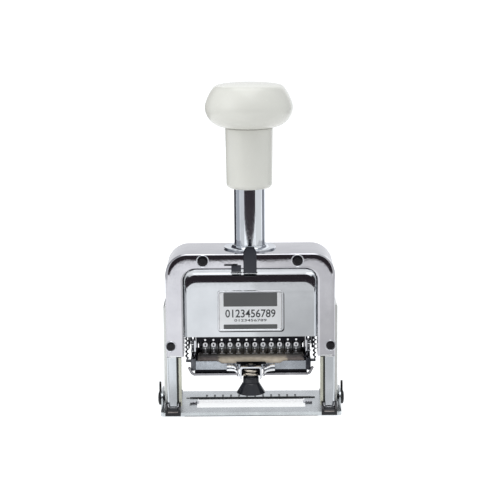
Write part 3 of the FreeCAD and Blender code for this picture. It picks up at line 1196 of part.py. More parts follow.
def main():
    os.makedirs("parts", exist_ok=True)
    write("base_plate", base_plate())
    write("base_tick_marks", tick_marks())
    write("window_rule", window_rule())
    write("gauge_tabs", gauge_tabs())
    write("outer_casting", casting())
    write("barrel_flange", flange())
    write("barrel_tube", barrel())
    write("top_screws", screws(TOP_SCREW_X, TOP_SCREW_Z, TOP_SCREW_HEAD))
    write("leg_screws", screws(LEG_SCREW_X, LEG_SCREW_Z, LEG_SCREW_HEAD))
    write("buffer_pads", buffer_pads())
    for name, side in SIDES.items():
        write("leg_" + name, leg(side))
        write("shoe_" + name, shoe(side))
        write("side_knob_" + name, side_knob(side))
    write("main_spring", main_spring())
    write("knob_head", knob_head())
    write("knob_skirt", knob_skirt())
    write("plunger_rod", plunger_rod())
    write("rod_nut", rod_nut())
    write("inner_frame", inner_frame())
    write("front_panel", front_panel())
    write("back_panel", back_panel())
    write("label_plate", label_plate())
    write("index_bar", index_bar())
    write("index_dots", index_dots())
    write("wheel_shaft", wheel_shaft())
    write("shaft_collars", shaft_collars())
    write("pivot_pins", pivot_pins())
    write("pivot_spacers", pivot_spacers())
    write("detent_comb", detent_comb())
    for index in range(WHEEL_COUNT):
        write("number_wheel_%02d" % (index + 1), number_wheel(index))
    write("swing_frame", swing_frame())
    write("feed_pawls", feed_pawls())
    write("pad_tray", pad_tray())
    write("felt_pad", felt_pad())
    write("side_springs", side_springs())
    write("pad_bracket", pad_bracket())
    write("knob_spring", knob_spring())
    write("release_knob", release_knob())
    write("stopper_tab", stopper_tab())
    write("repeat_selector", repeat_selector())


main()
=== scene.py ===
import json
import math
from math import cos, pi, radians, sin

import bmesh
import bpy
from mathutils import Matrix, Vector


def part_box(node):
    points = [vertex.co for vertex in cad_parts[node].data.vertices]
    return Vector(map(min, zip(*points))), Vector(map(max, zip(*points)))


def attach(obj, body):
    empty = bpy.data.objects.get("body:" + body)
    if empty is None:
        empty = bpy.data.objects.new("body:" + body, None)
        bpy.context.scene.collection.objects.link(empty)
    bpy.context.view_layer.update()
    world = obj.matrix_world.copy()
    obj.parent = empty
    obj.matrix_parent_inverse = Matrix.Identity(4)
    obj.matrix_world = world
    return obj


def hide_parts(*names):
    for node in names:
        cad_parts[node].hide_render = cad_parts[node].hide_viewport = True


# Looks of a desk numbering machine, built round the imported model. The stage and the materials
# are in metres; forms are drawn in millimetres and scaled when they become meshes.

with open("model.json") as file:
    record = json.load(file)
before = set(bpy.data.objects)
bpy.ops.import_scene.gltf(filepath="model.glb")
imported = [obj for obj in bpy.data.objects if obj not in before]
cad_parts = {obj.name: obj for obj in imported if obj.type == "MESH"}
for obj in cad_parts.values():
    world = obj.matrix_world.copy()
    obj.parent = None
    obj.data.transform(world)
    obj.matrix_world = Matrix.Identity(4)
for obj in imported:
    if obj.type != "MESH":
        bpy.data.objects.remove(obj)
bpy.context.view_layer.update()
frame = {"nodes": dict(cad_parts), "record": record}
MM = 0.001
NODES = frame["nodes"]
WHEELS = sorted(name for name in NODES if name.startswith("number_wheel_"))

# Camera, at the angle and distance of the reference view
PHOTO_SIZE = 500
PHOTO_SCALE = 2000.0
TARGET = Vector((0, 0, 75 * MM))
TARGET_DROP_PX = 9.7
CAMERA_DISTANCE = 880 * MM
CAMERA_ELEVATION = radians(10.4)
CAMERA_ROLL = radians(-0.45)
SENSOR_WIDTH = 36.0


def make_camera():
    data = bpy.data.cameras.new("camera")
    data.sensor_width = SENSOR_WIDTH
    data.lens = SENSOR_WIDTH * PHOTO_SCALE * CAMERA_DISTANCE / PHOTO_SIZE
    data.shift_y = TARGET_DROP_PX / PHOTO_SIZE
    data.clip_start = 10 * MM
    data.clip_end = 20.0
    back = Vector((0, -cos(CAMERA_ELEVATION), sin(CAMERA_ELEVATION)))
    turn = (-back).to_track_quat("-Z", "Y").to_matrix()
    camera = link("camera", data)
    camera.location = TARGET + back * CAMERA_DISTANCE
    camera.rotation_euler = (turn @ Matrix.Rotation(CAMERA_ROLL, 3, "Z")).to_euler()
    bpy.context.scene.camera = camera


# Stage: a pale floor that curves up far behind, soft boxes, and dark cards that only the
# metal mirrors, as the unlit end of a studio does

FLOOR_HALF_WIDTH = 3.0
FLOOR_FRONT = -3.0
FLOOR_BEND = 1.2
FLOOR_BEND_RADIUS = 0.8
WALL_TOP = 2.6
BEND_STEPS = 24
DARK_FLOOR_START = -0.46
DARK_FLOOR_END = -1.7
DARK_FLOOR_LIFT = 2 * MM
DARK_HALF_WIDTH = 2.2
DARK_WALL_TOP = 1.35
DARK = (0.030, 0.024, 0.028)
PAPER_GLOW = (0.98, 0.99, 1.0, 1)
DIM_SHARE = 0.2
SIDE_CARD_DISTANCE = 0.4
LIGHT_AIM = Vector((0, 0, 0.08))


def link(name, data):
    piece = bpy.data.objects.new(name, data)
    bpy.context.scene.collection.objects.link(piece)
    return piece


def shade_smooth(mesh, smooth=True):
    mesh.polygons.foreach_set("use_smooth", [smooth] * len(mesh.polygons))


def shader_of(name):
    material = bpy.data.materials.new(name)
    material.use_nodes = True
    return material, material.node_tree, material.node_tree.nodes["Principled BSDF"]


def make_floor():
    bend = arc_points((FLOOR_BEND, FLOOR_BEND_RADIUS), FLOOR_BEND_RADIUS, -90, 0, BEND_STEPS)
    path = [(FLOOR_FRONT, 0.0), *bend, (FLOOR_BEND + FLOOR_BEND_RADIUS, WALL_TOP)]
    points = [(side * FLOOR_HALF_WIDTH, y, z) for y, z in path for side in (-1, 1)]
    faces = [(2 * n, 2 * n + 1, 2 * n + 3, 2 * n + 2) for n in range(len(path) - 1)]
    mesh = bpy.data.meshes.new("floor")
    mesh.from_pydata(points, [], faces)
    shade_smooth(mesh)
    floor = link("floor", mesh)
    material, _, shader = shader_of("floor_paper")
    set_inputs(shader, {"Base Color": (0.38, 0.383, 0.386, 1), "Roughness": 0.9,
                        "Specular IOR Level": 0.1, "Emission Color": PAPER_GLOW,
                        "Emission Strength": 0.78})
    mesh.materials.append(material)


def set_inputs(node, values):
    for name, value in values.items():
        node.inputs[name].default_value = value


def make_card(name, points, colour=(0, 0, 0), roughness=0.5, glow=(0, 0, 0, 1), strength=0.0):
    """A card that shows in the metal's reflections and nowhere else."""
    mesh = bpy.data.meshes.new(name)
    mesh.from_pydata(points, [], [(0, 1, 2, 3)])
    card = link(name, mesh)
    material, tree, shader = shader_of(name)
    set_inputs(shader, {"Base Color": (*colour, 1), "Roughness": roughness,
                        "Specular IOR Level": 0.0, "Emission Color": glow,
                        "Emission Strength": strength})
    mesh.materials.append(material)
    card.visible_camera = False
    card.visible_diffuse = False
    card.visible_transmission = False
    card.visible_shadow = False
    return tree, shader


def make_cards():
    w, z, top = DARK_HALF_WIDTH, DARK_FLOOR_LIFT, DARK_WALL_TOP
    near, far = DARK_FLOOR_START, DARK_FLOOR_END
    make_card("dark_floor", [(-w, far, z), (w, far, z), (w, near, z), (-w, near, z)], DARK, 1.0)
    make_card("dark_wall", [(-w, far, z), (w, far, z), (w, far, top), (-w, far, top)], DARK, 1.0)
    for name, (start, end, top, grey) in SIDE_CARDS.items():
        turns = [radians(angle) for angle in (start, end, end, start)]
        points = [(SIDE_CARD_DISTANCE * sin(turn), -SIDE_CARD_DISTANCE * cos(turn), height)
                  for turn, height in zip(turns, (0.0, 0.0, top, top))]
        make_card(name, points, glow=(*grey, 1), strength=1.0)
    dim_card("right_dim", (0.004, 0.3), (-0.45, -0.03), 0.0006, (0.008, 0.036), (-0.32, -0.22))
    dim_card("near_dim", (-0.3, 0.3), (-0.075, -0.03), 0.0009, (-0.31, -0.3), (-0.072, -0.05))


def dim_card(name, x_range, y_range, z, across, along):
    """Painted shade: a slightly darker stretch of the floor near the object, seen only in reflections,
    faded in across x and along y.
    """
    (x0, x1), (y0, y1) = x_range, y_range
    points = [(x0, y0, z), (x1, y0, z), (x1, y1, z), (x0, y1, z)]
    tree, shader = make_card(name, points, glow=PAPER_GLOW)
    x, y, _ = own_place(tree)
    dim = maths(tree, "MULTIPLY", spread(tree, x, 0, DIM_SHARE, *across), spread(tree, y, 0, 1, *along))
    tree.links.new(maths(tree, "SUBTRACT", 1.0, dim), shader.inputs["Emission Strength"])


# Upright strips beside the object: from and to in degrees from the front, height and tone
SIDE_CARDS = {
    "left_light": (-76, -40, 0.9, (0.72, 0.73, 0.75)),
    "left_grey": (-116, -78, 0.9, (0.46, 0.48, 0.52)),
    "left_edge": (-160, -118, 0.9, (0.05, 0.05, 0.06)),
    "right_light": (42, 96, 0.9, (0.85, 0.86, 0.86)),
    "right_grey": (103, 140, 0.9, (0.30, 0.31, 0.34)),
    "rear_grey": (162, 199, 0.3, (0.83, 0.84, 0.87)),
}


def area_light(name, place, width, height, power):
    """A soft box that faces the object."""
    data = bpy.data.lights.new(name, "AREA")
    data.shape = "RECTANGLE"
    data.size, data.size_y = width, height
    data.energy = power
    lamp = link(name, data)
    lamp.location = place
    lamp.rotation_euler = (LIGHT_AIM - Vector(place)).to_track_quat("-Z", "Y").to_euler()


def make_lights():
    scene = bpy.context.scene
    scene.view_settings.view_transform = "Standard"
    world = bpy.data.worlds.new("studio")
    scene.world = world
    world.use_nodes = True
    set_inputs(world.node_tree.nodes["Background"], {"Color": (0.93, 0.96, 1.0, 1), "Strength": 0.86})
    area_light("top_box", (-0.1, -0.15, 1.45), 1.5, 1.3, 12)
    area_light("left_box", (-1.3, -0.7, 0.75), 0.8, 1.2, 7)
    area_light("right_box", (1.5, -0.2, 0.5), 0.5, 1.0, 1)


# Materials

def noise(tree, scale, detail=3.0, roughness=0.5, stretch=(1, 1, 1)):
    """A noise in the piece's own coordinates; scale is in features per metre."""
    place = tree.nodes.new("ShaderNodeTexCoord")
    mapping = tree.nodes.new("ShaderNodeMapping")
    texture = tree.nodes.new("ShaderNodeTexNoise")
    mapping.inputs["Scale"].default_value = stretch
    set_inputs(texture, {"Scale": scale, "Detail": detail, "Roughness": roughness})
    tree.links.new(place.outputs["Object"], mapping.inputs["Vector"])
    tree.links.new(mapping.outputs["Vector"], texture.inputs["Vector"])
    return texture.outputs["Fac"]


def spread(tree, value, low, high, start=0.3, end=0.7):
    """Maps a value between start and end to a range, and holds it there beyond them."""
    node = tree.nodes.new("ShaderNodeMapRange")
    set_inputs(node, {"From Min": start, "From Max": end, "To Min": low, "To Max": high})
    tree.links.new(value, node.inputs["Value"])
    return node.outputs["Result"]


def mix(tree, factor, low, high):
    """A blend of two colours, each a socket or three numbers."""
    node = tree.nodes.new("ShaderNodeMix")
    node.data_type = "RGBA"
    tree.links.new(factor, node.inputs["Factor"])
    for place, colour in ((node.inputs["A"], low), (node.inputs["B"], high)):
        if isinstance(colour, tuple):
            place.default_value = (*colour, 1)
        else:
            tree.links.new(colour, place)
    return node.outputs["Result"]


def bump(tree, shader, height, distance):
    node = tree.nodes.new("ShaderNodeBump")
    set_inputs(node, {"Distance": distance, "Strength": 1.0})
    tree.links.new(height, node.inputs["Height"])
    tree.links.new(node.outputs["Normal"], shader.inputs["Normal"])


def clouded(tree, shader, cloud, fine, dark, light, rough_low, rough_high):
    """Gives a shader a tone and a roughness that waver with two noises."""
    tree.links.new(mix(tree, spread(tree, cloud, 0, 1), dark, light), shader.inputs["Base Color"])
    tree.links.new(spread(tree, fine, rough_low, rough_high), shader.inputs["Roughness"])


def metal(name, dark, light, rough_low, rough_high, wave=0.0, wave_scale=120.0, stretch=(1, 1, 1)):
    """Plated or bare metal with a slightly uneven polish."""
    material, tree, shader = shader_of(name)
    shader.inputs["Metallic"].default_value = 1.0
    cloud = noise(tree, 90.0, stretch=stretch)
    fine = noise(tree, 900.0, detail=5.0, stretch=stretch)
    clouded(tree, shader, cloud, fine, dark, light, rough_low, rough_high)
    if wave:
        bump(tree, shader, noise(tree, wave_scale, stretch=stretch), wave)
    return material


def plastic(name, dark, light, rough_low, rough_high, grain=0.0, gloss=0.5):
    material, tree, shader = shader_of(name)
    shader.inputs["Specular IOR Level"].default_value = gloss
    fine = noise(tree, 1500.0, detail=4.0)
    clouded(tree, shader, noise(tree, 60.0), fine, dark, light, rough_low, rough_high)
    if grain:
        bump(tree, shader, fine, grain)
    return material


def maths(tree, operation, a, b=0.0):
    """A sum of two values, each a socket or a number."""
    node = tree.nodes.new("ShaderNodeMath")
    node.operation = operation
    for place, value in zip(node.inputs, (a, b)):
        if isinstance(value, (int, float)):
            place.default_value = value
        else:
            tree.links.new(value, place)
    return node.outputs["Value"]


def own_place(tree):
    """The x, y and z of a point in the piece's own coordinates."""
    place = tree.nodes.new("ShaderNodeTexCoord")
    parts = tree.nodes.new("ShaderNodeSeparateXYZ")
    tree.links.new(place.outputs["Object"], parts.inputs["Vector"])
    return parts.outputs["X"], parts.outputs["Y"], parts.outputs["Z"]


WHEEL_FLOOR_EDGE = 8.95 * MM
WHEEL_FIGURE_EDGE = 9.2 * MM


def wheel_material():
    """Blackened between the figures, bright where the raised figures are rubbed clean; painted shade
    darkens the floor towards the top.
    """
    material, tree, shader = shader_of("wheel_metal")
    _, y, z = own_place(tree)
    rise = maths(tree, "SUBTRACT", z, (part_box(WHEELS[0])[0].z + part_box(WHEELS[0])[1].z) / 2)
    squares = [maths(tree, "MULTIPLY", value, value) for value in (y, rise)]
    radius = maths(tree, "SQRT", maths(tree, "ADD", *squares))
    face = spread(tree, radius, 0, 1, WHEEL_FLOOR_EDGE, WHEEL_FIGURE_EDGE)
    grime = spread(tree, noise(tree, 700.0, 4.0), 0.0, 0.3)
    face = maths(tree, "MAXIMUM", maths(tree, "SUBTRACT", face, grime), 0.0)
    shader.inputs["Metallic"].default_value = 0.9
    # Painted shade: the floor between the figures goes from grey below to near black towards the top.
    painted_floor_shade = spread(tree, rise, 0, 1, -5.5 * MM, -2.5 * MM)
    dark = mix(tree, painted_floor_shade, (0.16, 0.165, 0.17), (0.02, 0.02, 0.022))
    tree.links.new(mix(tree, face, dark, (0.80, 0.80, 0.82)), shader.inputs["Base Color"])
    tree.links.new(spread(tree, noise(tree, 900.0), 0.28, 0.45), shader.inputs["Roughness"])
    return material


# Half-widths of the felt's beige middle and of where its painted shade is full
FELT_LIT_HALF = 16.4 * MM
FELT_SHADE_HALF = 18.0 * MM

# The base's window, in millimetres
WINDOW_HALF = 27.2
WINDOW_FRONT = -11.5
WINDOW_BACK = 5.6


def base_material():
    """Satin plate steel, with bright cut walls in its window."""
    material, tree, shader = shader_of("base_steel")
    shader.inputs["Metallic"].default_value = 1.0
    satin = mix(tree, spread(tree, noise(tree, 90.0), 0, 1), (0.48, 0.505, 0.52), (0.58, 0.61, 0.625))
    across, along, up = own_place(tree)
    near, far = 0.1 * MM, 0.16 * MM
    half, front, back = WINDOW_HALF * MM, WINDOW_FRONT * MM, WINDOW_BACK * MM
    cut = maths(tree, "MULTIPLY",
                maths(tree, "MULTIPLY",
                      spread(tree, maths(tree, "ABSOLUTE", across), 1, 0, half + near, half + far),
                      spread(tree, along, 0, 1, front - far, front - near)),
                maths(tree, "MULTIPLY", spread(tree, along, 1, 0, back + near, back + far),
                      spread(tree, up, 1, 0, 1.94 * MM, 1.99 * MM)))
    tree.links.new(mix(tree, cut, satin, (0.97, 0.97, 0.98)), shader.inputs["Base Color"])
    fine = noise(tree, 900.0, detail=5.0)
    tree.links.new(spread(tree, fine, 0.22, 0.34), shader.inputs["Roughness"])
    bump(tree, shader, noise(tree, 200.0), 0.00003)
    return material


def panel_material():
    """Chrome with a painted highlight: a near-white band along the roll under the casting."""
    material = metal("chrome_panel", (0.50, 0.515, 0.535), (0.55, 0.565, 0.585), 0.06, 0.11, 0.00002,
                     110.0)
    tree = material.node_tree
    tone = tree.nodes["Principled BSDF"].inputs["Base Color"]
    plain = tone.links[0].from_socket
    _, _, up = own_place(tree)
    # Painted highlight: a near-white band, set by height, on the roll.
    roll = spread(tree, up, 0, 1, 69.0 * MM, 69.8 * MM)
    tree.links.new(mix(tree, roll, plain, (0.92, 0.93, 0.94)), tone)
    return material


def felt_material():
    """Wool felt, beige in the middle and darker brown towards the ends, where the darkening is painted
    shade.
    """
    material, tree, shader = shader_of("felt")
    x, _, _ = own_place(tree)
    across = maths(tree, "ADD", maths(tree, "ABSOLUTE", maths(tree, "SUBTRACT", x, 0.9 * MM)),
                   spread(tree, noise(tree, 260.0, 5.0), -2.0 * MM, 2.0 * MM))
    # Painted shade: the felt turns dark brown towards its ends, with a wavering border.
    end_shade = spread(tree, across, 0, 1, FELT_LIT_HALF, FELT_SHADE_HALF)
    cloud = spread(tree, noise(tree, 420.0, 6.0), 0, 1)
    clean = mix(tree, cloud, (0.40, 0.34, 0.26), (0.54, 0.47, 0.38))
    shaded_felt = mix(tree, cloud, (0.11, 0.092, 0.085), (0.19, 0.16, 0.148))
    tree.links.new(mix(tree, end_shade, clean, shaded_felt), shader.inputs["Base Color"])
    set_inputs(shader, {"Roughness": 0.95, "Sheen Weight": 0.25, "Specular IOR Level": 0.2})
    bump(tree, shader, noise(tree, 2600.0, 6.0, 0.7), 0.00018)
    return material


# Metals: two tones, two roughnesses, then the height, scale and stretch of a wave
METALS = {
    "chrome": ((0.55, 0.56, 0.59), (0.61, 0.62, 0.65), 0.05, 0.10, 0.00003),
    "chrome_casting": ((0.49, 0.485, 0.515), (0.565, 0.56, 0.585), 0.07, 0.12, 0.00005, 150.0),
    "steel": ((0.52, 0.53, 0.56), (0.62, 0.63, 0.66), 0.25, 0.38),
    "dark_steel": ((0.012, 0.012, 0.014), (0.03, 0.03, 0.034), 0.3, 0.45),
    "edge_highlight_chrome": ((0.70, 0.71, 0.72), (0.78, 0.79, 0.80), 0.15, 0.25),
    "tongue_steel": ((0.16, 0.14, 0.135), (0.30, 0.27, 0.26), 0.25, 0.4, 0.00005, 500.0),
    "bright_steel": ((0.84, 0.85, 0.87), (0.93, 0.94, 0.96), 0.1, 0.2),
    "black_steel": ((0.008, 0.008, 0.01), (0.02, 0.02, 0.024), 0.3, 0.4),
    "leg_chrome": ((0.50, 0.53, 0.55), (0.58, 0.60, 0.63), 0.12, 0.2, 0.00003, 130.0, (1, 1, 0.3)),
    "rib_chrome": ((0.66, 0.67, 0.65), (0.74, 0.75, 0.73), 0.3, 0.4),
    "rail_steel": ((0.50, 0.50, 0.42), (0.60, 0.60, 0.51), 0.25, 0.35),
    "lip_chrome": ((0.24, 0.235, 0.25), (0.38, 0.375, 0.39), 0.14, 0.26, 0.00005, 300.0),
    "chrome_barrel": ((0.70, 0.73, 0.77), (0.76, 0.79, 0.83), 0.05, 0.09, 0.00001),
    "label": ((0.80, 0.81, 0.82), (0.88, 0.89, 0.90), 0.38, 0.46),
    "label_frame": ((0.50, 0.51, 0.53), (0.58, 0.59, 0.61), 0.12, 0.2),
    "spring_steel": ((0.30, 0.30, 0.32), (0.42, 0.42, 0.44), 0.14, 0.22),
    "coil_steel": ((0.50, 0.45, 0.38), (0.66, 0.60, 0.52), 0.18, 0.28),
    "cheek_steel": ((0.03, 0.032, 0.04), (0.20, 0.205, 0.22), 0.22, 0.34, 0.00006, 420.0),
    "tray_steel": ((0.30, 0.32, 0.35), (0.45, 0.48, 0.52), 0.2, 0.34, 0.00004, 260.0),
    "brass": ((0.55, 0.40, 0.20), (0.66, 0.50, 0.27), 0.25, 0.35),
}
# Plastics and paints: two tones, two roughnesses, then grain and gloss
PLASTICS = {
    "ivory_plastic": ((0.535, 0.53, 0.485), (0.56, 0.555, 0.51), 0.2, 0.28, 0.000004),
    "black_plastic": ((0.006, 0.006, 0.007), (0.012, 0.012, 0.013), 0.18, 0.28, 0.000002, 0.26),
    "knob_black": ((0.009, 0.010, 0.013), (0.015, 0.016, 0.020), 0.10, 0.16, 0.000002, 0.36),
    "black_oxide": ((0.004, 0.004, 0.005), (0.010, 0.010, 0.012), 0.14, 0.24, 0.0, 0.25),
    "control_black": ((0.012, 0.013, 0.018), (0.022, 0.024, 0.032), 0.10, 0.16, 0.000004, 0.38),
    "slot_shade": ((0.05, 0.055, 0.05), (0.09, 0.095, 0.085), 0.5, 0.7),
    "shoe_black": ((0.005, 0.005, 0.006), (0.014, 0.014, 0.016), 0.1, 0.2, 0.00001, 0.3),
    "rule_print_and_shadow": ((0.02, 0.024, 0.026), (0.05, 0.055, 0.06), 0.4, 0.55),
    "label_band": ((0.055, 0.056, 0.056), (0.07, 0.071, 0.071), 0.4, 0.5),
    "label_print": ((0.02, 0.02, 0.022), (0.034, 0.034, 0.036), 0.45, 0.55),
    "dots": ((0.75, 0.75, 0.75), (0.85, 0.85, 0.85), 0.5, 0.6),
    "rubber": ((0.03, 0.03, 0.03), (0.05, 0.05, 0.05), 0.7, 0.9),
}


def make_materials():
    made = {name: metal(name, *values) for name, values in METALS.items()}
    made.update({name: plastic(name, *values) for name, values in PLASTICS.items()})
    made.update({"base_steel": base_material(), "chrome_panel": panel_material(),
                 "wheel_metal": wheel_material(), "felt": felt_material()})
    return made


def dress_nodes(materials):
    """Gives each solid of the frame the finish of its slot."""
    slots = {part["node"]: part["material_slot"] for part in frame["record"]["subparts"]}
    for name, node in NODES.items():
        finish = materials[slots[name]]
        if node.material_slots:
            for holder in node.material_slots:
                holder.material = finish
        else:
            node.data.materials.append(finish)


# Mesh helpers

SMOOTH_ANGLE = radians(32)
ON_AXIS = 1e-4


def mm(corners):
    """The corners of a box in millimetres."""
    return [corner / MM for corner in corners]


def mesh_from(name, bm):
    """Turns a bmesh in millimetres into a mesh in metres."""
    mesh = bpy.data.meshes.new(name)
    bmesh.ops.scale(bm, vec=(MM, MM, MM), verts=bm.verts)
    bm.to_mesh(mesh)
    bm.free()
    shade_smooth(mesh)
    mesh.set_sharp_from_angle(angle=SMOOTH_ANGLE)
    return mesh


def piece_from(name, bm, finish, body, replaced=(), bevel=0.0, segments=3):
    """Turns a bmesh into a shown piece with a finish, riding on a body."""
    bmesh.ops.recalc_face_normals(bm, faces=bm.faces)
    mesh = mesh_from(name, bm)
    mesh.materials.append(MATERIALS[finish])
    piece = link(name, mesh)
    if bevel:
        round_edges(piece, bevel, segments)
    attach(piece, body)
    if replaced:
        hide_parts(*replaced)
    return piece


def round_edges(piece, width, segments=3):
    edge = piece.modifiers.new("edge", "BEVEL")
    edge.width = width * MM
    edge.segments = segments
    edge.limit_method = "ANGLE"
    edge.angle_limit = SMOOTH_ANGLE
    edge.miter_outer = "MITER_ARC"
    normals = piece.modifiers.new("normals", "WEIGHTED_NORMAL")
    normals.keep_sharp = False
    normals.weight = 80


def skin(bm, loops, closed=False, capped=True):
    """Joins loops of points, in their order, with faces; the ends are capped or joined."""
    rings = [[bm.verts.new(p) for p in loop] for loop in loops]
    for near, far in zip(rings, rings[1:] + (rings[:1] if closed else [])):
        for n in range(len(near)):
            m = (n + 1) % len(near)
            bm.faces.new([near[n], near[m], far[m], far[n]])
    if capped and not closed:
        bm.faces.new(rings[0])
        bm.faces.new(rings[-1][::-1])
    return rings


def add_box(bm, low, high):
    """A box between two corners."""
    corners = [bm.verts.new((x, y, z)) for x in (low[0], high[0]) for y in (low[1], high[1])
               for z in (low[2], high[2])]
    for face in ((0, 1, 3, 2), (4, 6, 7, 5), (0, 4, 5, 1), (2, 3, 7, 6), (0, 2, 6, 4), (1, 5, 7, 3)):
        bm.faces.new([corners[n] for n in face])


def add_prism(bm, outline, push):
    """A flat outline of points, and its copy pushed along a vector, joined by walls."""
    skin(bm, [outline, [Vector(p) + Vector(push) for p in outline]])


def circle(radius, steps, centre=(0, 0)):
    """Points round a circle in a plane."""
    angles = [2 * pi * n / steps for n in range(steps)]
    return [(centre[0] + radius * cos(a), centre[1] + radius * sin(a)) for a in angles]


def add_lathe(bm, profile, steps, centre=(0, 0), closed=False):
    """Turns (radius, height) points about a vertical axis; a zero radius closes the end."""
    rings = []
    for radius, z in profile:
        count = steps if radius > ON_AXIS else 1
        rings.append([bm.verts.new((x, y, z)) for x, y in circle(radius, count, centre)])
    for low, high in zip(rings, rings[1:] + (rings[:1] if closed else [])):
        for n in range(steps):
            m = (n + 1) % steps
            if len(low) == 1:
                bm.faces.new([low[0], high[m], high[n]])
            elif len(high) == 1:
                bm.faces.new([low[n], low[m], high[0]])
            else:
                bm.faces.new([low[n], low[m], high[m], high[n]])


def arc_points(centre, radius, start, end, steps):
    """Points of an arc in a plane, from one angle to another in degrees."""
    angles = [radians(start + (end - start) * n / steps) for n in range(steps + 1)]
    return [(centre[0] + radius * cos(a), centre[1] + radius * sin(a)) for a in angles]


def arc_through(a, b, c, steps):
    """Points of the arc that leaves a, passes b and reaches c."""
    (ax, ay), (bx, by), (cx, cy) = a, b, c
    scale = 2 * (ax * (by - cy) + bx * (cy - ay) + cx * (ay - by))
    aa, bb, cc = ax * ax + ay * ay, bx * bx + by * by, cx * cx + cy * cy
    mx = (aa * (by - cy) + bb * (cy - ay) + cc * (ay - by)) / scale
    my = (aa * (cx - bx) + bb * (ax - cx) + cc * (bx - ax)) / scale
    radius = math.hypot(ax - mx, ay - my)
    start, mid, end = (math.atan2(y - my, x - mx) for x, y in (a, b, c))
    way = math.remainder(mid - start, 2 * pi)
    turn = way + math.remainder(end - mid, 2 * pi)
    angles = [start + turn * n / steps for n in range(steps + 1)]
    return [(mx + radius * cos(angle), my + radius * sin(angle)) for angle in angles]


def softened(points, passes):
    """A run of points with its corners eased; the two ends stay."""
    for _ in range(passes):
        inner = [tuple((p[k] + 2 * q[k] + r[k]) / 4 for k in range(2))
                 for p, q, r in zip(points, points[1:], points[2:])]
        points = [points[0]] + inner + [points[-1]]
    return points


def outline_box(x0, x1, z0, z1, corner, y, steps=6):
    """A rounded rectangle in a plane of constant y."""
    points = []
    for cx, cz, start in ((x1 - corner, z1 - corner, 0), (x0 + corner, z1 - corner, 90),
                          (x0 + corner, z0 + corner, 180), (x1 - corner, z0 + corner, 270)):
        points += [(px, y, pz) for px, pz in arc_points((cx, cz), corner, start, start + 90, steps)]
    return points


def glyph(text, height, depth, weight):
    """The mesh of a plain figure, centred, as tall as given, facing +Z; weight swells its strokes."""
    curve = bpy.data.curves.new("figure", "FONT")
    curve.body = text
    curve.size = 1.0
    curve.resolution_u = 3
    curve.extrude = 0.0
    curve.offset = weight
    curve.align_x = "CENTER"
    holder = link("figure", curve)
    bpy.context.view_layer.update()
    flat = bpy.data.meshes.new_from_object(holder)
    bpy.data.objects.remove(holder)
    bm = bmesh.new()
    bm.from_mesh(flat)
    bpy.data.meshes.remove(flat)
    bmesh.ops.remove_doubles(bm, verts=bm.verts, dist=1e-5)
    xs, ys = [v.co.x for v in bm.verts], [v.co.y for v in bm.verts]
    centre = Vector((min(xs) + max(xs), min(ys) + max(ys), 0)) / 2
    scale = height / (max(ys) - min(ys))
    for v in bm.verts:
        v.co = (v.co - centre) * scale
    raised = bmesh.ops.extrude_face_region(bm, geom=bm.faces[:])
    top = [v for v in raised["geom"] if isinstance(v, bmesh.types.BMVert)]
    bmesh.ops.translate(bm, verts=top, vec=(0, 0, depth))
    return bm


def join_into(target, source, matrix):
    """Moves one bmesh, placed by a matrix, into another."""
    copies = {v: target.verts.new(matrix @ v.co) for v in source.verts}
    for face in source.faces:
        target.faces.new([copies[v] for v in face.verts])
    source.free()


# Number wheels: a drum with ten flats, a raised figure on each, and a ratchet

FIGURES = 10
FRONT_FIGURE_STEP = 2
FIGURE_WEIGHT = 0.04
FIGURE_SINK = 0.15
WHEEL_RIM = 0.22


def wheel_sizes():
    low, high = mm(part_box(WHEELS[0]))
    next_low, _ = mm(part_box(WHEELS[1]))
    return {"left": low.x, "width": 3.15, "ratchet": high.x - low.x - 3.15, "pitch": next_low.x - low.x,
            "z": (low.z + high.z) / 2, "top": 9.4, "floor": 8.55, "bore": 2.55}


def figure_frame(size, step):
    """Places the figure that is a number of steps from the lowest flat towards the front."""
    turn = 2 * pi / FIGURES * step
    out = Vector((0, -sin(turn), -cos(turn)))
    up = Vector((0, cos(turn), -sin(turn)))
    right = Vector((1, 0, 0))
    place = Vector((size["left"] + size["width"] / 2, 0, size["z"])) + out * size["floor"]
    frame_matrix = Matrix((right, up, out)).transposed().to_4x4()
    frame_matrix.translation = place - out * FIGURE_SINK
    return frame_matrix


def wheel_mesh():
    """All wheels share this mesh, which lies where the first one is."""
    size = wheel_sizes()
    bm = bmesh.new()
    step = 2 * pi / FIGURES
    corner = size["floor"] / cos(step / 2)
    left, right = size["left"], size["left"] + size["width"]
    sections = ((left, size["bore"]), (left, corner - WHEEL_RIM), (left + WHEEL_RIM, corner),
                (right - WHEEL_RIM, corner), (right, corner - WHEEL_RIM), (right, 7.2))
    skin(bm, [[(x, y, z) for y, z in circle(radius, FIGURES, (0, size["z"]))]
              for x, radius in sections], capped=False)
    teeth = []
    for n in range(FIGURES):
        for radius, turn in ((8.8, n), (8.1, n + 0.12), (8.45, n + 0.55)):
            teeth.append((right - 0.02, radius * cos(step * turn),
                          size["z"] + radius * sin(step * turn)))
    add_prism(bm, teeth, (size["ratchet"] - 0.02, 0, 0))
    depth = size["top"] - size["floor"] + FIGURE_SINK
    squeeze = Matrix.Translation((0, 0.05, 0)) @ Matrix.Diagonal((1.34, 1, 1, 1))
    for n in range(FIGURES):
        figure = str((FRONT_FIGURE_STEP - n) % FIGURES)
        join_into(bm, glyph(figure, 2.75, depth, FIGURE_WEIGHT), figure_frame(size, n) @ squeeze)
        join_into(bm, box_form((-0.22, 2.0, 0), (0.22, 2.75, depth * 0.8)), figure_frame(size, n))
    return mesh_from("number_wheel_form", bm)


def make_wheels():
    mesh = wheel_mesh()
    mesh.materials.append(MATERIALS["wheel_metal"])
    pitch = wheel_sizes()["pitch"] * MM
    for index, node in enumerate(WHEELS):
        wheel = link("figures_" + node, mesh)
        wheel.location.x = index * pitch
        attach(wheel, node + "_body")
        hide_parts(node)


# Press knob, barrel and collar

HEAD_STEPS = 160
BARREL_STEPS = 144


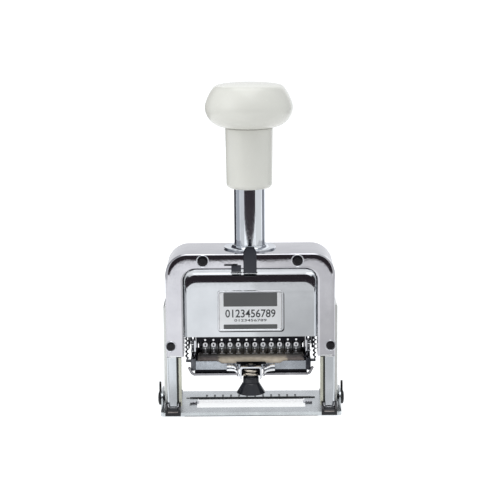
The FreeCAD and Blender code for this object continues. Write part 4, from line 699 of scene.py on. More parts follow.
def make_knob():
    low, high = mm(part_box("knob_head"))
    top, foot = high.z, low.z
    shoulder, wide, rim = (16.6, top - 1.4), (high.x, foot + 10.0), (12.6, foot)
    outline = arc_through((0, top), (8.3, top - 0.35), shoulder, 18)
    outline += arc_through(shoulder, (20.1, (shoulder[1] + wide[1]) / 2), wide, 18)[1:]
    outline += arc_through(wide, (19.11, foot + 3.3), rim, 18)[1:]
    outline = softened(outline, 5)
    outline += [(12.35, foot), (10.7, foot + 0.1), (10.7, foot + 4), (8.05, foot + 4.1),
                (8.05, top - 6.8), (0, top - 6.7)]
    bm = bmesh.new()
    add_lathe(bm, outline, HEAD_STEPS)
    piece_from("press_head", bm, "ivory_plastic", "plunger_unit", ["knob_head"])
    low, high = mm(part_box("knob_skirt"))
    radius, end, seam = high.x, low.z, foot - 0.05
    profile = [(8.05, end + 0.3), (8.4, end), *arc_points((radius - 3.0, end + 2.6), 2.6, -90, 0, 12)]
    profile += [(radius, seam - 0.5), (radius - 0.12, seam - 0.36), (radius - 0.45, seam - 0.32),
                (radius - 0.45, seam), (10.55, seam), (10.55, seam + 3.9), (8.05, seam + 3.9)]
    bm = bmesh.new()
    add_lathe(bm, profile, HEAD_STEPS, closed=True)
    piece_from("press_skirt", bm, "ivory_plastic", "plunger_unit", ["knob_skirt"])


def make_barrel():
    low, high = mm(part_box("barrel_tube"))
    radius, bore = high.x, high.x - 1.1
    sleeve, collar = bmesh.new(), bmesh.new()
    add_lathe(sleeve, [(bore, low.z + 1.0), (bore, high.z - 0.2), (bore + 0.2, high.z),
                       (radius - 0.3, high.z), (radius, high.z - 0.3), (radius, low.z + 0.02),
                       (3.1, low.z + 0.02), (3.1, low.z + 1.0)], BARREL_STEPS, closed=True)
    piece_from("barrel_sleeve", sleeve, "chrome_barrel", "outer_frame", ["barrel_tube"])
    low, high = mm(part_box("barrel_flange"))
    edge, foot = high.x, low.z
    profile = [(radius + 0.02, foot + 0.03), (edge - 0.25, foot + 0.03)]
    profile += arc_points((edge - 0.35, foot + 0.62), 0.35, -60, 120, 8)
    profile += [(edge - 1.6, foot + 0.62), (10.4, foot + 0.55), (9.7, foot + 0.8), (9.0, foot + 1.5),
                (8.6, foot + 2.05), (8.2, foot + 2.2), (radius + 0.02, foot + 2.2)]
    add_lathe(collar, profile, BARREL_STEPS, closed=True)
    add_lathe(collar, [(radius + 0.01, foot + 2.25), (radius + 0.3, foot + 2.25),
                       (radius + 0.3, foot + 2.6), (radius + 0.01, foot + 2.6)], BARREL_STEPS,
              closed=True)
    piece_from("barrel_collar", collar, "chrome_barrel", "outer_frame", ["barrel_flange"])


# Label plate: a pressed frame round a satin field, with two dark bands and plain figures

BAND_HALF = 13.3


def flat_slab(name, finish, outline, back):
    """A slab of the label, from an outline on its front to a back."""
    bm = bmesh.new()
    add_prism(bm, outline, (0, back - outline[0][1], 0))
    piece_from(name, bm, finish, "plunger_unit")


def make_label():
    low, high = mm(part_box("label_plate"))
    half, foot, top = high.x, low.z, high.z
    front, back = low.y, high.y
    bm = bmesh.new()
    skin(bm, [outline_box(inset - half, half - inset, foot + inset, top - inset, 1.6 - inset, y)
              for inset, y in ((0, back), (0, front + 0.12), (0.14, front), (0.78, front),
                               (1.0, front + 0.2))])
    piece_from("label_frame", bm, "label_frame", "plunger_unit", ["label_plate"])
    inner, field = half - 1.05, front + 0.2
    # Painted shadow: a dark slab behind the frame, set right and down, shows as a dark rim on its lower
    # and right edges.
    flat_slab("label_shadow_slab", "label_print",
              outline_box(0.3 - half, half + 0.42, foot - 0.5, top - 0.6, 1.6, front + 0.16), back)
    flat_slab("label_field", "label",
              outline_box(-inner, inner, foot + 1.05, top - 1.05, 0.7, field - 0.06), field)
    for name, z0, z1 in (("label_band_upper", 53.8, 61.0), ("label_band_lower", 41.9, 44.7)):
        z0, z1 = max(z0, foot + 1.1), min(z1, top - 1.1)
        flat_slab(name, "label_band", outline_box(-BAND_HALF, BAND_HALF, z0, z1, 0.3, field - 0.1),
                  field - 0.03)
    upright = Matrix.Rotation(radians(90), 4, "X")
    for name, height, z, squeeze in (("label_figures", 4.1, 50.25, 0.90),
                                     ("label_small_figures", 1.25, 46.8, 1.9)):
        shape = glyph("0123456789", height, 0.05, 0.012)
        place = Matrix.Translation((0, field - 0.06, z)) @ upright
        bmesh.ops.transform(shape, matrix=place @ Matrix.Diagonal((squeeze, 1, 1, 1)),
                            verts=shape.verts)
        piece_from(name, shape, "label_print", "plunger_unit")


# Felt pad

def make_felt():
    low, high = mm(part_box("felt_pad"))
    columns, rows = 84, 26
    edge, crown, front_drop = 0.9, 0.12, 0.55
    trim = 0.3 * edge
    width, depth, height = high - low
    centre = (low + high) / 2
    xs = [trim + (width - 2 * trim) * n / columns for n in range(columns)]
    ys = [trim + (depth - 2 * trim) * n / rows for n in range(rows)]
    base = [(low.x + x, low.y) for x in xs] + [(high.x, low.y + y) for y in ys]
    base += [(high.x - x, high.y) for x in xs] + [(low.x, high.y - y) for y in ys]
    loops = []
    for inset, share in ((0.0, 0.0), (0.0, 0.62), (0.12, 0.82), (0.42, 0.95), (1.6, 1.0)):
        loop = []
        for x, y in base:
            drop = front_drop if y < centre.y and inset < 1.0 else 0.0
            px = x - math.copysign(min(abs(x - centre.x), edge * inset), x - centre.x)
            py = y - math.copysign(min(abs(y - centre.y), edge * inset), y - centre.y)
            loop.append((px, py, low.z + (height - crown - drop) * share))
        loops.append(loop)
    bm = bmesh.new()
    rings = skin(bm, loops, capped=False)
    bm.faces.new(rings[0][::-1])
    rim = rings[-1]
    grid = []
    for r in range(rows + 1):
        row = []
        for c in range(columns + 1):
            if r == 0:
                row.append(rim[c])
            elif r == rows:
                row.append(rim[2 * columns + rows - c])
            elif c == columns:
                row.append(rim[columns + r])
            elif c == 0:
                row.append(rim[2 * columns + 2 * rows - r])
            else:
                rise = sin(c / columns * pi) ** 0.4 * sin(r / rows * pi) ** 0.6
                row.append(bm.verts.new((rim[c].co.x, rim[columns + r].co.y,
                                         rim[0].co.z + crown * rise)))
        grid.append(row)
    for near, far in zip(grid, grid[1:]):
        for c in range(columns):
            bm.faces.new([near[c], near[c + 1], far[c + 1], far[c]])
    pad = piece_from("ink_pad_felt", bm, "felt", "pad_holder", ["felt_pad"])


# Casting: an inverted U whose front and back faces lean very slightly to their edges

def u_path(half, foot, top, corner, counts):
    """Points of an inverted U from the left foot, over the top, to the right foot."""
    upright, bend_steps, across = counts
    points = [(-half, foot + (top - corner - foot) * n / upright) for n in range(upright)]
    points += arc_points((-half + corner, top - corner), corner, 180, 90, bend_steps)
    points += [(-half + corner + (2 * half - 2 * corner) * n / across, top) for n in range(1, across)]
    points += arc_points((half - corner, top - corner), corner, 90, 0, bend_steps)
    points += [(half, top - corner - (top - corner - foot) * n / upright) for n in range(1, upright + 1)]
    return points


def cut_out(bm, cutters):
    """Cuts closed forms out of another, and gives the result as a bmesh."""
    holders = []
    for form in [bm] + cutters:
        mesh = bpy.data.meshes.new("form")
        bmesh.ops.recalc_face_normals(form, faces=form.faces)
        form.to_mesh(mesh)
        form.free()
        holders.append(link("form", mesh))
    for tool in holders[1:]:
        step = holders[0].modifiers.new("cut", "BOOLEAN")
        step.operation = "DIFFERENCE"
        step.solver = "EXACT"
        step.object = tool
    bpy.context.view_layer.update()
    done = holders[0].evaluated_get(bpy.context.evaluated_depsgraph_get()).to_mesh()
    result = bmesh.new()
    result.from_mesh(done)
    for holder in holders:
        bpy.data.objects.remove(holder)
    return result


def box_form(low, high):
    bm = bmesh.new()
    add_box(bm, low, high)
    return bm


EDGE_PROFILE = ((0.0, 1.7), (0.03, 1.25), (0.1, 1.0), (0.22, 0.78), (0.4, 0.6), (0.7, 0.46), (1.1, 0.32),
                (1.5, 0.2), (1.85, 0.105), (2.15, 0.045), (2.45, 0.012), (2.9, 0.0), (4.2, 0.0))
INNER_PROFILE = ((1.4, 0.0), (0.8, 0.02), (0.42, 0.09), (0.18, 0.22), (0.05, 0.42), (0.0, 0.7))
OPENING_CORNER = 6.3
CASTING_CORNER = 11.0
CASTING_COUNTS = (14, 22, 40)
FRAME_WIDTH = 8.6
SCREW_STEPS = 36
TOP_WALL = 2.6


def make_casting():
    low, high = mm(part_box("outer_casting"))
    half, foot, top, depth = high.x, low.z, high.z, high.y
    opening = half - FRAME_WIDTH
    roof = top - 7.3
    paths = (u_path(half, foot, top, CASTING_CORNER, CASTING_COUNTS),
             u_path(opening, foot, roof, OPENING_CORNER, CASTING_COUNTS))
    for path in paths:
        path[1:1] = [(path[0][0], foot + 0.2)]
        path[-1:-1] = [(path[-1][0], foot + 0.2)]
    section = [(0, reach, y - depth) for reach, y in EDGE_PROFILE]
    section += [(1, -reach, y - depth) for reach, y in INNER_PROFILE]
    section += [(place, reach, -y) for place, reach, y in reversed(section)]
    rows = []
    for outer, inner in zip(*paths):
        way = Vector(inner) - Vector(outer)
        spots = [(Vector(outer) + way.normalized() * (reach + place * way.length), y)
                 for place, reach, y in section]
        rows.append([(spot.x, y, spot.y) for spot, y in spots])
    bm = bmesh.new()
    skin(bm, rows)
    pocket, inside, lip = opening - 2.7, depth - TOP_WALL, 9.7
    cutters = [box_form((-pocket, -inside, roof + 0.9), (pocket, inside, top - TOP_WALL)),
               box_form((-pocket, -lip, roof - 5), (pocket, lip, roof + 2))]
    for side in (-1, 1):
        cutters.append(box_form((side * (opening + 1.7), -inside, foot - 5),
                                (side * (half - 1.9), inside, foot + 13)))
    bore = bmesh.new()
    add_prism(bore, [(x, y, top - 5) for x, y in circle(3.05, 40)], (0, 0, 10))
    cutters.append(bore)
    cutters.append(box_form((-1.5, -depth - 1, top - 6.7), (1.5, 1 - inside, top - 2.9)))
    stopper, selector = mm(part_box("stopper_tab")), mm(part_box("repeat_selector"))
    for gap_low, gap_high in (stopper, selector):
        cutters.append(box_form((gap_low.x - 0.4, -inside - 0.1, roof - 1),
                                (gap_high.x + 0.4, gap_high.y + 0.4, roof + 2)))
    slot_x, slot_z = selector[0].x, selector[1].z
    cutters.append(box_form((slot_x - 3.5, -depth - 1, slot_z - 0.9),
                            (slot_x + 3.1, 1 - inside, slot_z + 0.1)))
    shell = piece_from("outer_casting_shell", cut_out(bm, cutters), "chrome_casting", "outer_frame",
                       ["outer_casting"])
    # Painted highlight: the walls of the opening, under its roof and round its corners, take a lighter
    # metal.
    shell.data.materials.append(MATERIALS["bright_steel"])
    for face in shell.data.polygons:
        x, z = abs(face.center.x) / MM - opening, face.center.z / MM - roof
        bend = math.hypot(x + OPENING_CORNER, z + OPENING_CORNER)
        in_corner = min(x, z) > -OPENING_CORNER and abs(bend - OPENING_CORNER) < 0.15
        under_roof = abs(face.normal.z) > 0.95 and abs(z) < 0.1
        if abs(face.normal.y) < 0.1 and (in_corner or under_roof or abs(x) < 0.1):
            face.material_index = 1


def add_screw(bm, centre, radius, front, seat, socket):
    """A low black screw with a six-sided socket; the head faces -Y."""
    edge, six = radius * 0.12, socket / 2
    loops = []
    for size, y, flats in ((radius, seat, False), (radius, front + edge, False),
                           (radius - edge * 0.4, front + edge * 0.3, False),
                           (radius - edge * 1.3, front, False), (six * 1.12, front, True),
                           (six, front + 0.1, True), (six, front + 0.24, True)):
        loop = []
        for n in range(SCREW_STEPS):
            angle = 2 * pi * n / SCREW_STEPS
            reach = size / cos(math.remainder(angle, pi / 3)) if flats else size
            loop.append((centre[0] + reach * cos(angle), y, centre[1] + reach * sin(angle)))
        loops.append(loop)
    skin(bm, loops)


def add_ring(bm, centre, radius, thick, y):
    """A round ring that lies in a plane of constant y."""
    outlines = [circle(reach, 48, centre) for reach, _ in circle(thick, 10, (radius, 0))]
    rises = [rise for _, rise in circle(thick, 10)]
    skin(bm, [[(outline[n][0], y + rise, outline[n][1]) for outline, rise in zip(outlines, rises)]
              for n in range(48)], closed=True)


def make_screws():
    rings = bmesh.new()
    for node, socket in (("top_screws", 2.3), ("leg_screws", 1.9)):
        low, high = mm(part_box(node))
        size = (high.z - low.z) / 2
        bm = bmesh.new()
        for side in (-1, 1):
            centre = (side * (high.x - size), low.z + size)
            add_screw(bm, centre, size - 0.03, low.y - 0.3, low.y + 0.88, socket)
            add_ring(rings, centre, size + 0.34, 0.3, low.y + 0.08)
        piece_from(node + "_heads", bm, "black_oxide", "outer_frame", [node])
    piece_from("screw_seat_rings", rings, "chrome", "outer_frame")


# Panels: shells with a deep roll over the top and a smaller one down each side

PANEL_SIDE_ROLL = 1.8
PANEL_TOP_ROLL = 5.6
PANEL_TOP_REACH = 7.4
PANEL_OUTER_CORNER = 6.9
PANEL_WALL = 1.0
PANEL_COUNTS = (16, 26, 30)
ROLL_STEPS = 14


def span(bm, near, far):
    """Joins two rows of points with a band of faces."""
    for a, b, c, d in zip(near, near[1:], far[1:], far):
        bm.faces.new([a, b, c, d])


def make_panel(node, facing):
    low, high = mm(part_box(node))
    half, foot, top = high.x + 0.42, low.z, high.z
    face, back = (low.y, high.y) if facing < 0 else (high.y, low.y)
    bend_x, bend_z = half - PANEL_OUTER_CORNER, top - PANEL_OUTER_CORNER
    bm = bmesh.new()
    shells = []
    for wall in (0.0, PANEL_WALL):
        outer = u_path(half - wall, foot, top - wall, PANEL_OUTER_CORNER - wall, PANEL_COUNTS)
        inner = u_path(half - PANEL_SIDE_ROLL, foot, top - PANEL_TOP_REACH, 5.0, PANEL_COUNTS)
        rows = []
        for n, ((ox, oz), (ix, iz)) in enumerate(zip(outer, inner)):
            upward = 0.0 if n < PANEL_COUNTS[0] or n >= len(outer) - PANEL_COUNTS[0] else 1.0
            if ox * ox > bend_x ** 2 and oz > bend_z:
                turn = math.atan2(oz - bend_z, abs(ox) - bend_x)
                upward = max(0.0, min(1.0, turn / (pi / 2)))
            ease = upward * upward * (3 - 2 * upward)
            sink = PANEL_SIDE_ROLL + (PANEL_TOP_ROLL - PANEL_SIDE_ROLL) * ease - wall
            row = [(ox, back, oz)]
            for k in range(ROLL_STEPS + 1):
                angle = pi / 2 * k / ROLL_STEPS
                across, depth = 1 - cos(angle), sink * (1 - sin(angle))
                row.append((ox + (ix - ox) * across, face - facing * (depth + wall),
                            oz + (iz - oz) * across))
            rows.append([bm.verts.new(p) for p in row])
        for near, far in zip(rows, rows[1:]):
            span(bm, near, far)
        bm.faces.new([row[-1] for row in rows])
        shells.append(rows)
    outside, inside = shells
    span(bm, [row[0] for row in outside], [row[0] for row in inside])
    span(bm, outside[0], inside[0])
    span(bm, outside[-1], inside[-1])
    bm.faces.new([outside[0][-1], outside[-1][-1], inside[-1][-1], inside[0][-1]])
    piece_from(node + "_cover", bm, "chrome_panel", "plunger_unit", [node])


# Pad holder: tray, arms, cheeks, lip, bracket and release knob

def plate_x(bm, outline, x0, x1):
    """A plate across X from an outline of (y, z) points."""
    add_prism(bm, [(x0, y, z) for y, z in outline], (x1 - x0, 0, 0))


def plate_y(bm, outline, y0, y1):
    """A plate across Y from an outline of (x, z) points."""
    add_prism(bm, [(x, y0, z) for x, z in outline], (0, y1 - y0, 0))


def strip_outline(path, thick):
    """The closed outline of a strip of even thickness along a path in a plane."""
    left, right = [], []
    for n, (x, z) in enumerate(path):
        before = path[max(n - 1, 0)]
        after = path[min(n + 1, len(path) - 1)]
        way = Vector((after[0] - before[0], after[1] - before[1])).normalized()
        side = Vector((-way.y, way.x)) * thick / 2
        left.append((x + side.x, z + side.y))
        right.append((x - side.x, z - side.y))
    return left + right[::-1]


def make_tray():
    low, high = mm(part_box("pad_tray"))
    felt_low, felt_high = mm(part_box("felt_pad"))
    front, back, lip_foot = -8.6, 7.15, low.z
    floor_z, wall_top, foot = felt_low.z, felt_high.z - 1.6, felt_high.z - 7.4
    arm_in, arm_out, cheek_out = 27.6, 28.6, 30.0
    half = arm_in + 0.5
    notch, slant, notch_foot = 16.6, 2.2, wall_top - 1.2
    wall_foot = foot + 1.4
    body = "pad_holder"
    bm = bmesh.new()
    add_box(bm, (-half, front + 0.1, floor_z - 0.7), (half, back - 0.1, floor_z))
    plate_y(bm, [(-half, wall_foot), (half, wall_foot), (half, wall_top), (notch, wall_top),
                 (notch - slant, notch_foot), (slant - notch, notch_foot), (-notch, wall_top),
                 (-half, wall_top)], front, front + 0.7)
    add_box(bm, (-half, back - 0.7, foot + 1), (half, back, wall_top - 0.1))
    piece_from("tray_walls", bm, "tray_steel", body, ["pad_tray"], 0.14)
    gap, lip_z = 6.2, lip_foot + 0.62
    # Painted shade: black strips in the groove behind the lip, above the rear wall and along the foot of
    # the notch.
    bm = bmesh.new()
    for side in (-1, 1):
        add_box(bm, (side * gap, front + 0.45, lip_foot + 0.9),
                (side * half, front + 0.75, wall_foot + 0.3))
    add_box(bm, (-half, back - 0.7, wall_top - 0.1), (half, back, wall_top + 3.4))
    add_box(bm, (-7.2, front - 0.12, notch_foot - 0.5), (7.6, front + 0.02, notch_foot + 0.55))
    piece_from("tray_shade_strips", bm, "black_steel", body)
    bm = bmesh.new()
    for side in (-1, 1):
        path = [(gap, lip_z), (28.4, lip_z), (29.4, lip_z + 0.5), (31.0, lip_z + 3.6)]
        plate_y(bm, strip_outline([(side * x, z) for x, z in path], 1.2), front - 1.2, front + 0.6)
        plate_x(bm, [(front - 3.4, lip_foot), (front - 0.9, lip_foot), (front - 0.9, lip_foot + 5.1),
                     (front - 2.2, lip_foot + 5.1), (front - 3.4, lip_foot + 3.6)],
                side * gap, side * (gap + 0.7))
    piece_from("tray_lip", bm, "lip_chrome", body, (), 0.3)
    pivot_y, pivot_z = -1.85, high.z - 2.9
    arm = arc_points((pivot_y, pivot_z), 2.9, 0, 180, 20)
    arm += [(pivot_y - 2.9, pivot_z - 1), (-0.85, pivot_z - 4.4), (-0.85, wall_top + 2),
            (-3.0, wall_top), (front, wall_top), (front, foot + 1), (back, foot + 1),
            (back, wall_top), (4.15, wall_top), (4.15, pivot_z - 4.4)]
    top = felt_high.z - 0.3
    cheek = [(front, top), (front, foot + 4), *arc_points((front + 4, foot + 4), 4, 180, 270, 8)[1:]]
    cheek += arc_points((0.15, foot + 4), 4, 270, 360, 8)
    cheek += [(4.15, top + 7.4), (1.1, top + 7.4), (1.1, top)]
    face = [(arm_in - 0.1, top), (cheek_out, top), (cheek_out, foot + 4)]
    face += arc_points((cheek_out - 3.2, foot + 4), 3.2, 0, -70, 7)[1:] + [(arm_in - 0.1, foot + 1.1)]
    arms, cheeks, pins, posts = (bmesh.new() for _ in range(4))
    spring_low, spring_high = mm(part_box("side_springs"))
    for side in (-1, 1):
        plate_x(arms, arm, side * arm_in, side * arm_out)
        plate_x(cheeks, cheek, side * (arm_out + 0.02), side * cheek_out)
        plate_y(cheeks, [(side * x, z) for x, z in face], front - 0.3, front - 0.02)
        for y, z, radius in ((0.25, 5.6, 1.05), (0.05, 2.0, 0.85)):
            plate_x(pins, circle(radius, 24, (y, top + z)), side * (arm_out + 0.04),
                    side * (cheek_out + 0.2))
        add_box(posts, (side * (cheek_out - 0.7), 0, spring_low.z - 1.1), (side * high.x, 2, spring_low.z))
        ring = [(x, y, spring_low.z) for x, y in circle(0.2, 12, (side * (high.x - 0.55), 1))]
        add_prism(posts, ring, (0, 0, spring_high.z - spring_low.z))
    piece_from("tray_arms", arms, "chrome", body, (), 0.16)
    piece_from("tray_cheeks", cheeks, "cheek_steel", body, (), 0.25)
    piece_from("cheek_pins", pins, "bright_steel", body, (), 0.25)
    piece_from("spring_posts", posts, "cheek_steel", body)


HOOKS = (((-12.1, -3.7), (-9.6, -3.65), (-8.3, -3.75), (-7.8, -4.3), (-7.5, -5.1)),
         ((-12.1, -5.4), (-9.8, -5.4), (-8.4, -5.4), (-7.4, -5.7), (-6.7, -6.6), (-6.2, -7.8),
          (-5.9, -8.9)), ((12.1, -3.5), (10.8, -3.45), (9.6, -3.6), (8.6, -4.1), (7.6, -4.7),
                          (6.6, -5.0)), ((12.1, -5.4), (10.2, -5.5), (8.6, -5.8), (7.6, -6.1),
                                         (6.8, -6.7), (6.3, -7.4), (6.1, -8.6)))


def make_bracket():
    low, _ = mm(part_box("pad_bracket"))
    pad_top = mm(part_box("felt_pad"))[1].z
    top, foot = pad_top - 3.0, low.z
    y0, y1 = low.y, -8.6
    out, sheet = 5.4, 0.8
    yoke = [(-out, foot + 1), *arc_points((0.6 - out, top - 0.6), 0.6, 180, 90, 6)]
    yoke += arc_points((out - 0.6, top - 0.6), 0.6, 90, 0, 6)
    yoke += [(out, foot + 1), (out - 0.4, foot), (out - sheet, foot), (out - sheet, top - sheet - 0.6),
             (out - sheet - 0.6, top - sheet), (sheet + 0.6 - out, top - sheet),
             (sheet - out, top - sheet - 0.6), (sheet - out, foot), (0.3 - out, foot)]
    bm, bore = bmesh.new(), bmesh.new()
    plate_y(bm, yoke, y0, -9.9)
    add_prism(bore, [(x, y, foot) for x, y in circle(3.0, 32, (0, RELEASE_Y))], (0, 0, 10))
    piece_from("bracket_yoke", cut_out(bm, [bore]), "chrome", "pad_holder",
               ["pad_bracket"], 0.15)
    # Painted shade: black plates inside the yoke and along its top.
    bm = bmesh.new()
    add_box(bm, (0.1 - out, y1 - 0.5, foot + 0.3), (out - 0.1, y1 - 0.05, top - sheet))
    add_box(bm, (-7.2, y1 - 0.5, top), (7.2, y1 - 0.05, top + 1.1))
    piece_from("bracket_shade", bm, "black_steel", "pad_holder")
    bm = bmesh.new()
    for side in (-1, 1):
        add_box(bm, (side * 3.05, -9.95, top - sheet), (side * out, y1, top))
    for hook in HOOKS:
        path = softened([(x, pad_top + z) for x, z in hook], 1)
        plate_y(bm, strip_outline(path, 1.05), y1 - 3.3, y1 - 0.02)
    piece_from("bracket_hooks", bm, "bright_steel", "pad_holder", (), 0.3)


RELEASE_Y = -12.2
MAIN_COIL_SHORTER = 27


def add_coil(bm, centre, radius, wire, turns, z0, z1, start=0.0):
    """A coil of round wire about a vertical axis, with closed ends."""
    steps = int(28 * turns)
    loops = []
    for n in range(steps + 1):
        angle = start - 2 * pi * turns * n / steps
        z = z0 + wire / 2 + (z1 - z0 - wire) * n / steps
        loops.append([(centre[0] + cos(angle) * reach, centre[1] + sin(angle) * reach,
                       z + rise) for reach, rise in circle(wire / 2, 12, (radius, 0))])
    skin(bm, loops)


def make_springs():
    release, sides, main = (bmesh.new() for _ in range(3))
    low, high = mm(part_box("knob_spring"))
    add_coil(release, (0, RELEASE_Y), 3.35, 1.2, 1.9, low.z, high.z, radians(170))
    low, high = mm(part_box("side_springs"))
    for side in (-1, 1):
        add_coil(sides, (side * 32.2, 1), 0.58, 0.8, 5.2, low.z, high.z, radians(90))
    low, high = mm(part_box("main_spring"))
    add_coil(main, (0, 0), high.x - 0.55, 1.1, 14, low.z, high.z - MAIN_COIL_SHORTER)
    piece_from("release_coil", release, "coil_steel", "pad_holder", ["knob_spring"])
    piece_from("side_coils", sides, "spring_steel", "pad_holder", ["side_springs"])
    piece_from("main_coil", main, "spring_steel", "outer_frame", ["main_spring"])


def make_release_knob():
    low, high = mm(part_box("release_knob"))
    foot, top = low.z, high.z
    neck = foot + 8.3
    profile = [(0, top), (1.2, top), (1.5, top - 0.3), (1.5, top - 0.4), (2.0, top - 0.42),
               (2.1, top - 0.5), (2.1, top - 1.0), (2.0, top - 1.1), (1.5, top - 1.1),
               (1.5, top - 2.0), (2.7, top - 2.05), (2.7, neck), (3.6, neck), (3.9, neck - 0.25),
               (3.98, neck - 0.6), (3.98, neck - 1.8), (4.08, neck - 2.7), (3.92, neck - 2.8),
               (3.96, neck - 2.95), (4.3, neck - 3.2), (4.5, neck - 3.6)]
    profile += [(4.5 + 2.62 * n / 10, neck - 3.6 - 4.25 * n / 10) for n in range(1, 11)]
    profile += [(7.18, foot + 0.33), (7.16, foot + 0.18), (7.05, foot + 0.06), (6.85, foot), (0, foot)]
    bm = bmesh.new()
    add_lathe(bm, profile, 96, (0, RELEASE_Y))
    piece_from("release_button", bm, "knob_black", "pad_release", ["release_knob"])


def make_collars():
    """Dark end discs with a notched rim, beside the first and the last wheel."""
    low, high = mm(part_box("shaft_collars"))
    centre = (low.z + high.z) / 2
    tips, notches = circle(8.7, 40, (0, centre)), circle(8.2, 40, (0, centre))
    rim = [tips[n] if n % 4 else notches[n] for n in range(40)]
    bm = bmesh.new()
    for side, near in ((-1, 24.385), (1, 25.085)):
        plate_x(bm, rim, side * near, side * (high.x - 0.05))
    piece_from("shaft_end_discs", bm, "dark_steel", "plunger_unit", ["shaft_collars"], 0.1)


def make_liners():
    """Dark plates of the sliding frame beside the end discs and in front of its side plates."""
    low, _ = mm(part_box("inner_frame"))
    foot, front = low.z, low.y
    bm = bmesh.new()
    for side in (-1, 1):
        plate_x(bm, [(-4.6, foot + 5), (-4.6, foot - 1.9), (-3.8, foot - 2.2), (2.4, foot - 2.2),
                     (3.2, foot), (3.2, foot + 5)], side * 26.62, side * 27.3)
        for x0, x1, drop in ((29.1, 30.1, 3.9), (30.3, 31.15, 0.1)):
            add_box(bm, (side * x0, front - 0.02, foot + drop), (side * x1, front + 0.75, foot + 6.3))
    piece_from("frame_liners", bm, "black_steel", "plunger_unit", (), 0.1)


# Base, legs and shoes

def made_edge(node, width, segments=2):
    """Welds a solid of the frame and eases its edges, its mesh as it is."""
    piece = NODES[node]
    weld = piece.modifiers.new("weld", "WELD")
    weld.merge_threshold = 0.001 * MM
    round_edges(piece, width, segments)


def make_legs():
    casting_low, casting_high = mm(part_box("outer_casting"))
    leg_low, leg_high = mm(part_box("leg_left"))
    half, depth, top = casting_high.x, casting_high.y, casting_low.z
    foot, rib_top = leg_low.z, leg_high.z
    opening = half - FRAME_WIDTH
    out, rib_out, face_in = half - 0.2, half + 1.6, opening + 3.6
    rail_in, rail_out = opening + 1.25, opening + 2.75
    rear_in, rear_out = opening + 2.4, opening + 3.3
    sheet, corner = 1.2, 1.5
    section = [(face_in, -depth), *arc_points((out - corner, corner - depth), corner, -90, 0, 7)]
    section += arc_points((out - corner, depth - corner), corner, 0, 90, 7)
    section += [(face_in, depth), (face_in, depth - sheet), (out - sheet, depth - sheet),
                (out - sheet, sheet - depth), (face_in, sheet - depth)]
    rib_outline = [(out - 0.1, foot), (rib_out, foot)]
    rib_outline += arc_points((rib_out - 1.4, rib_top - 2.2), 1.4, 0, 90, 8)
    rib_outline += [(half - 1.2, rib_top - 0.8)]
    for name, side in (("left", -1), ("right", 1)):
        channel, edge, rails, slot, rib = (bmesh.new() for _ in range(5))
        add_prism(channel, [(side * x, y, foot) for x, y in section], (0, 0, top - 0.12 - foot))
        for way in (-1, 1):
            # Painted highlight: bright strips along the top of the leg and the foot of the casting.
            add_box(edge, (side * (face_in + 0.1), way * (depth + 0.04), top - 0.55),
                    (side * (out - 0.7), way * (depth - 0.4), top - 0.06))
            add_box(edge, (side * (opening + 1.3), way * (depth + 0.02), top + 0.05),
                    (side * (half - 1.6), way * (depth - 0.3), top + 0.75))
            # Painted shade: a dark sheet in the gap between the rail and the leg's face.
            add_box(slot, (side * (rail_out - 0.1), way * (depth - 2.0), foot + 0.1),
                    (side * (face_in + 0.5), way * (depth - 2.4), top - 0.2))
        add_box(rails, (side * rail_in, 1.0 - depth, foot), (side * rail_out, 3.2 - depth, top - 0.5))
        add_box(rails, (side * rear_in, depth - 6, foot), (side * rear_out, depth - 1.0, top - 0.5))
        for z0, z1 in ((foot, foot + 1.2), (top - 1.7, top - 0.5)):
            add_box(rails, (side * rear_in, 2.2 - depth, z0), (side * (face_in + 0.3), depth - 2.2, z1))
        plate_y(rib, [(side * x, z) for x, z in rib_outline], -10, 10)
        piece_from("leg_channel_" + name, channel, "leg_chrome", "outer_frame",
                   ["leg_" + name], 0.3)
        for label, form, finish, bevel in (("leg_top_highlight_", edge, "edge_highlight_chrome", 0.1),
                                           ("leg_rails_", rails, "rail_steel", 0.22),
                                           ("leg_slot_shade_", slot, "slot_shade", 0.0),
                                           ("leg_rib_", rib, "rib_chrome", 0.55)):
            piece_from(label + name, form, finish, "outer_frame", (), bevel)


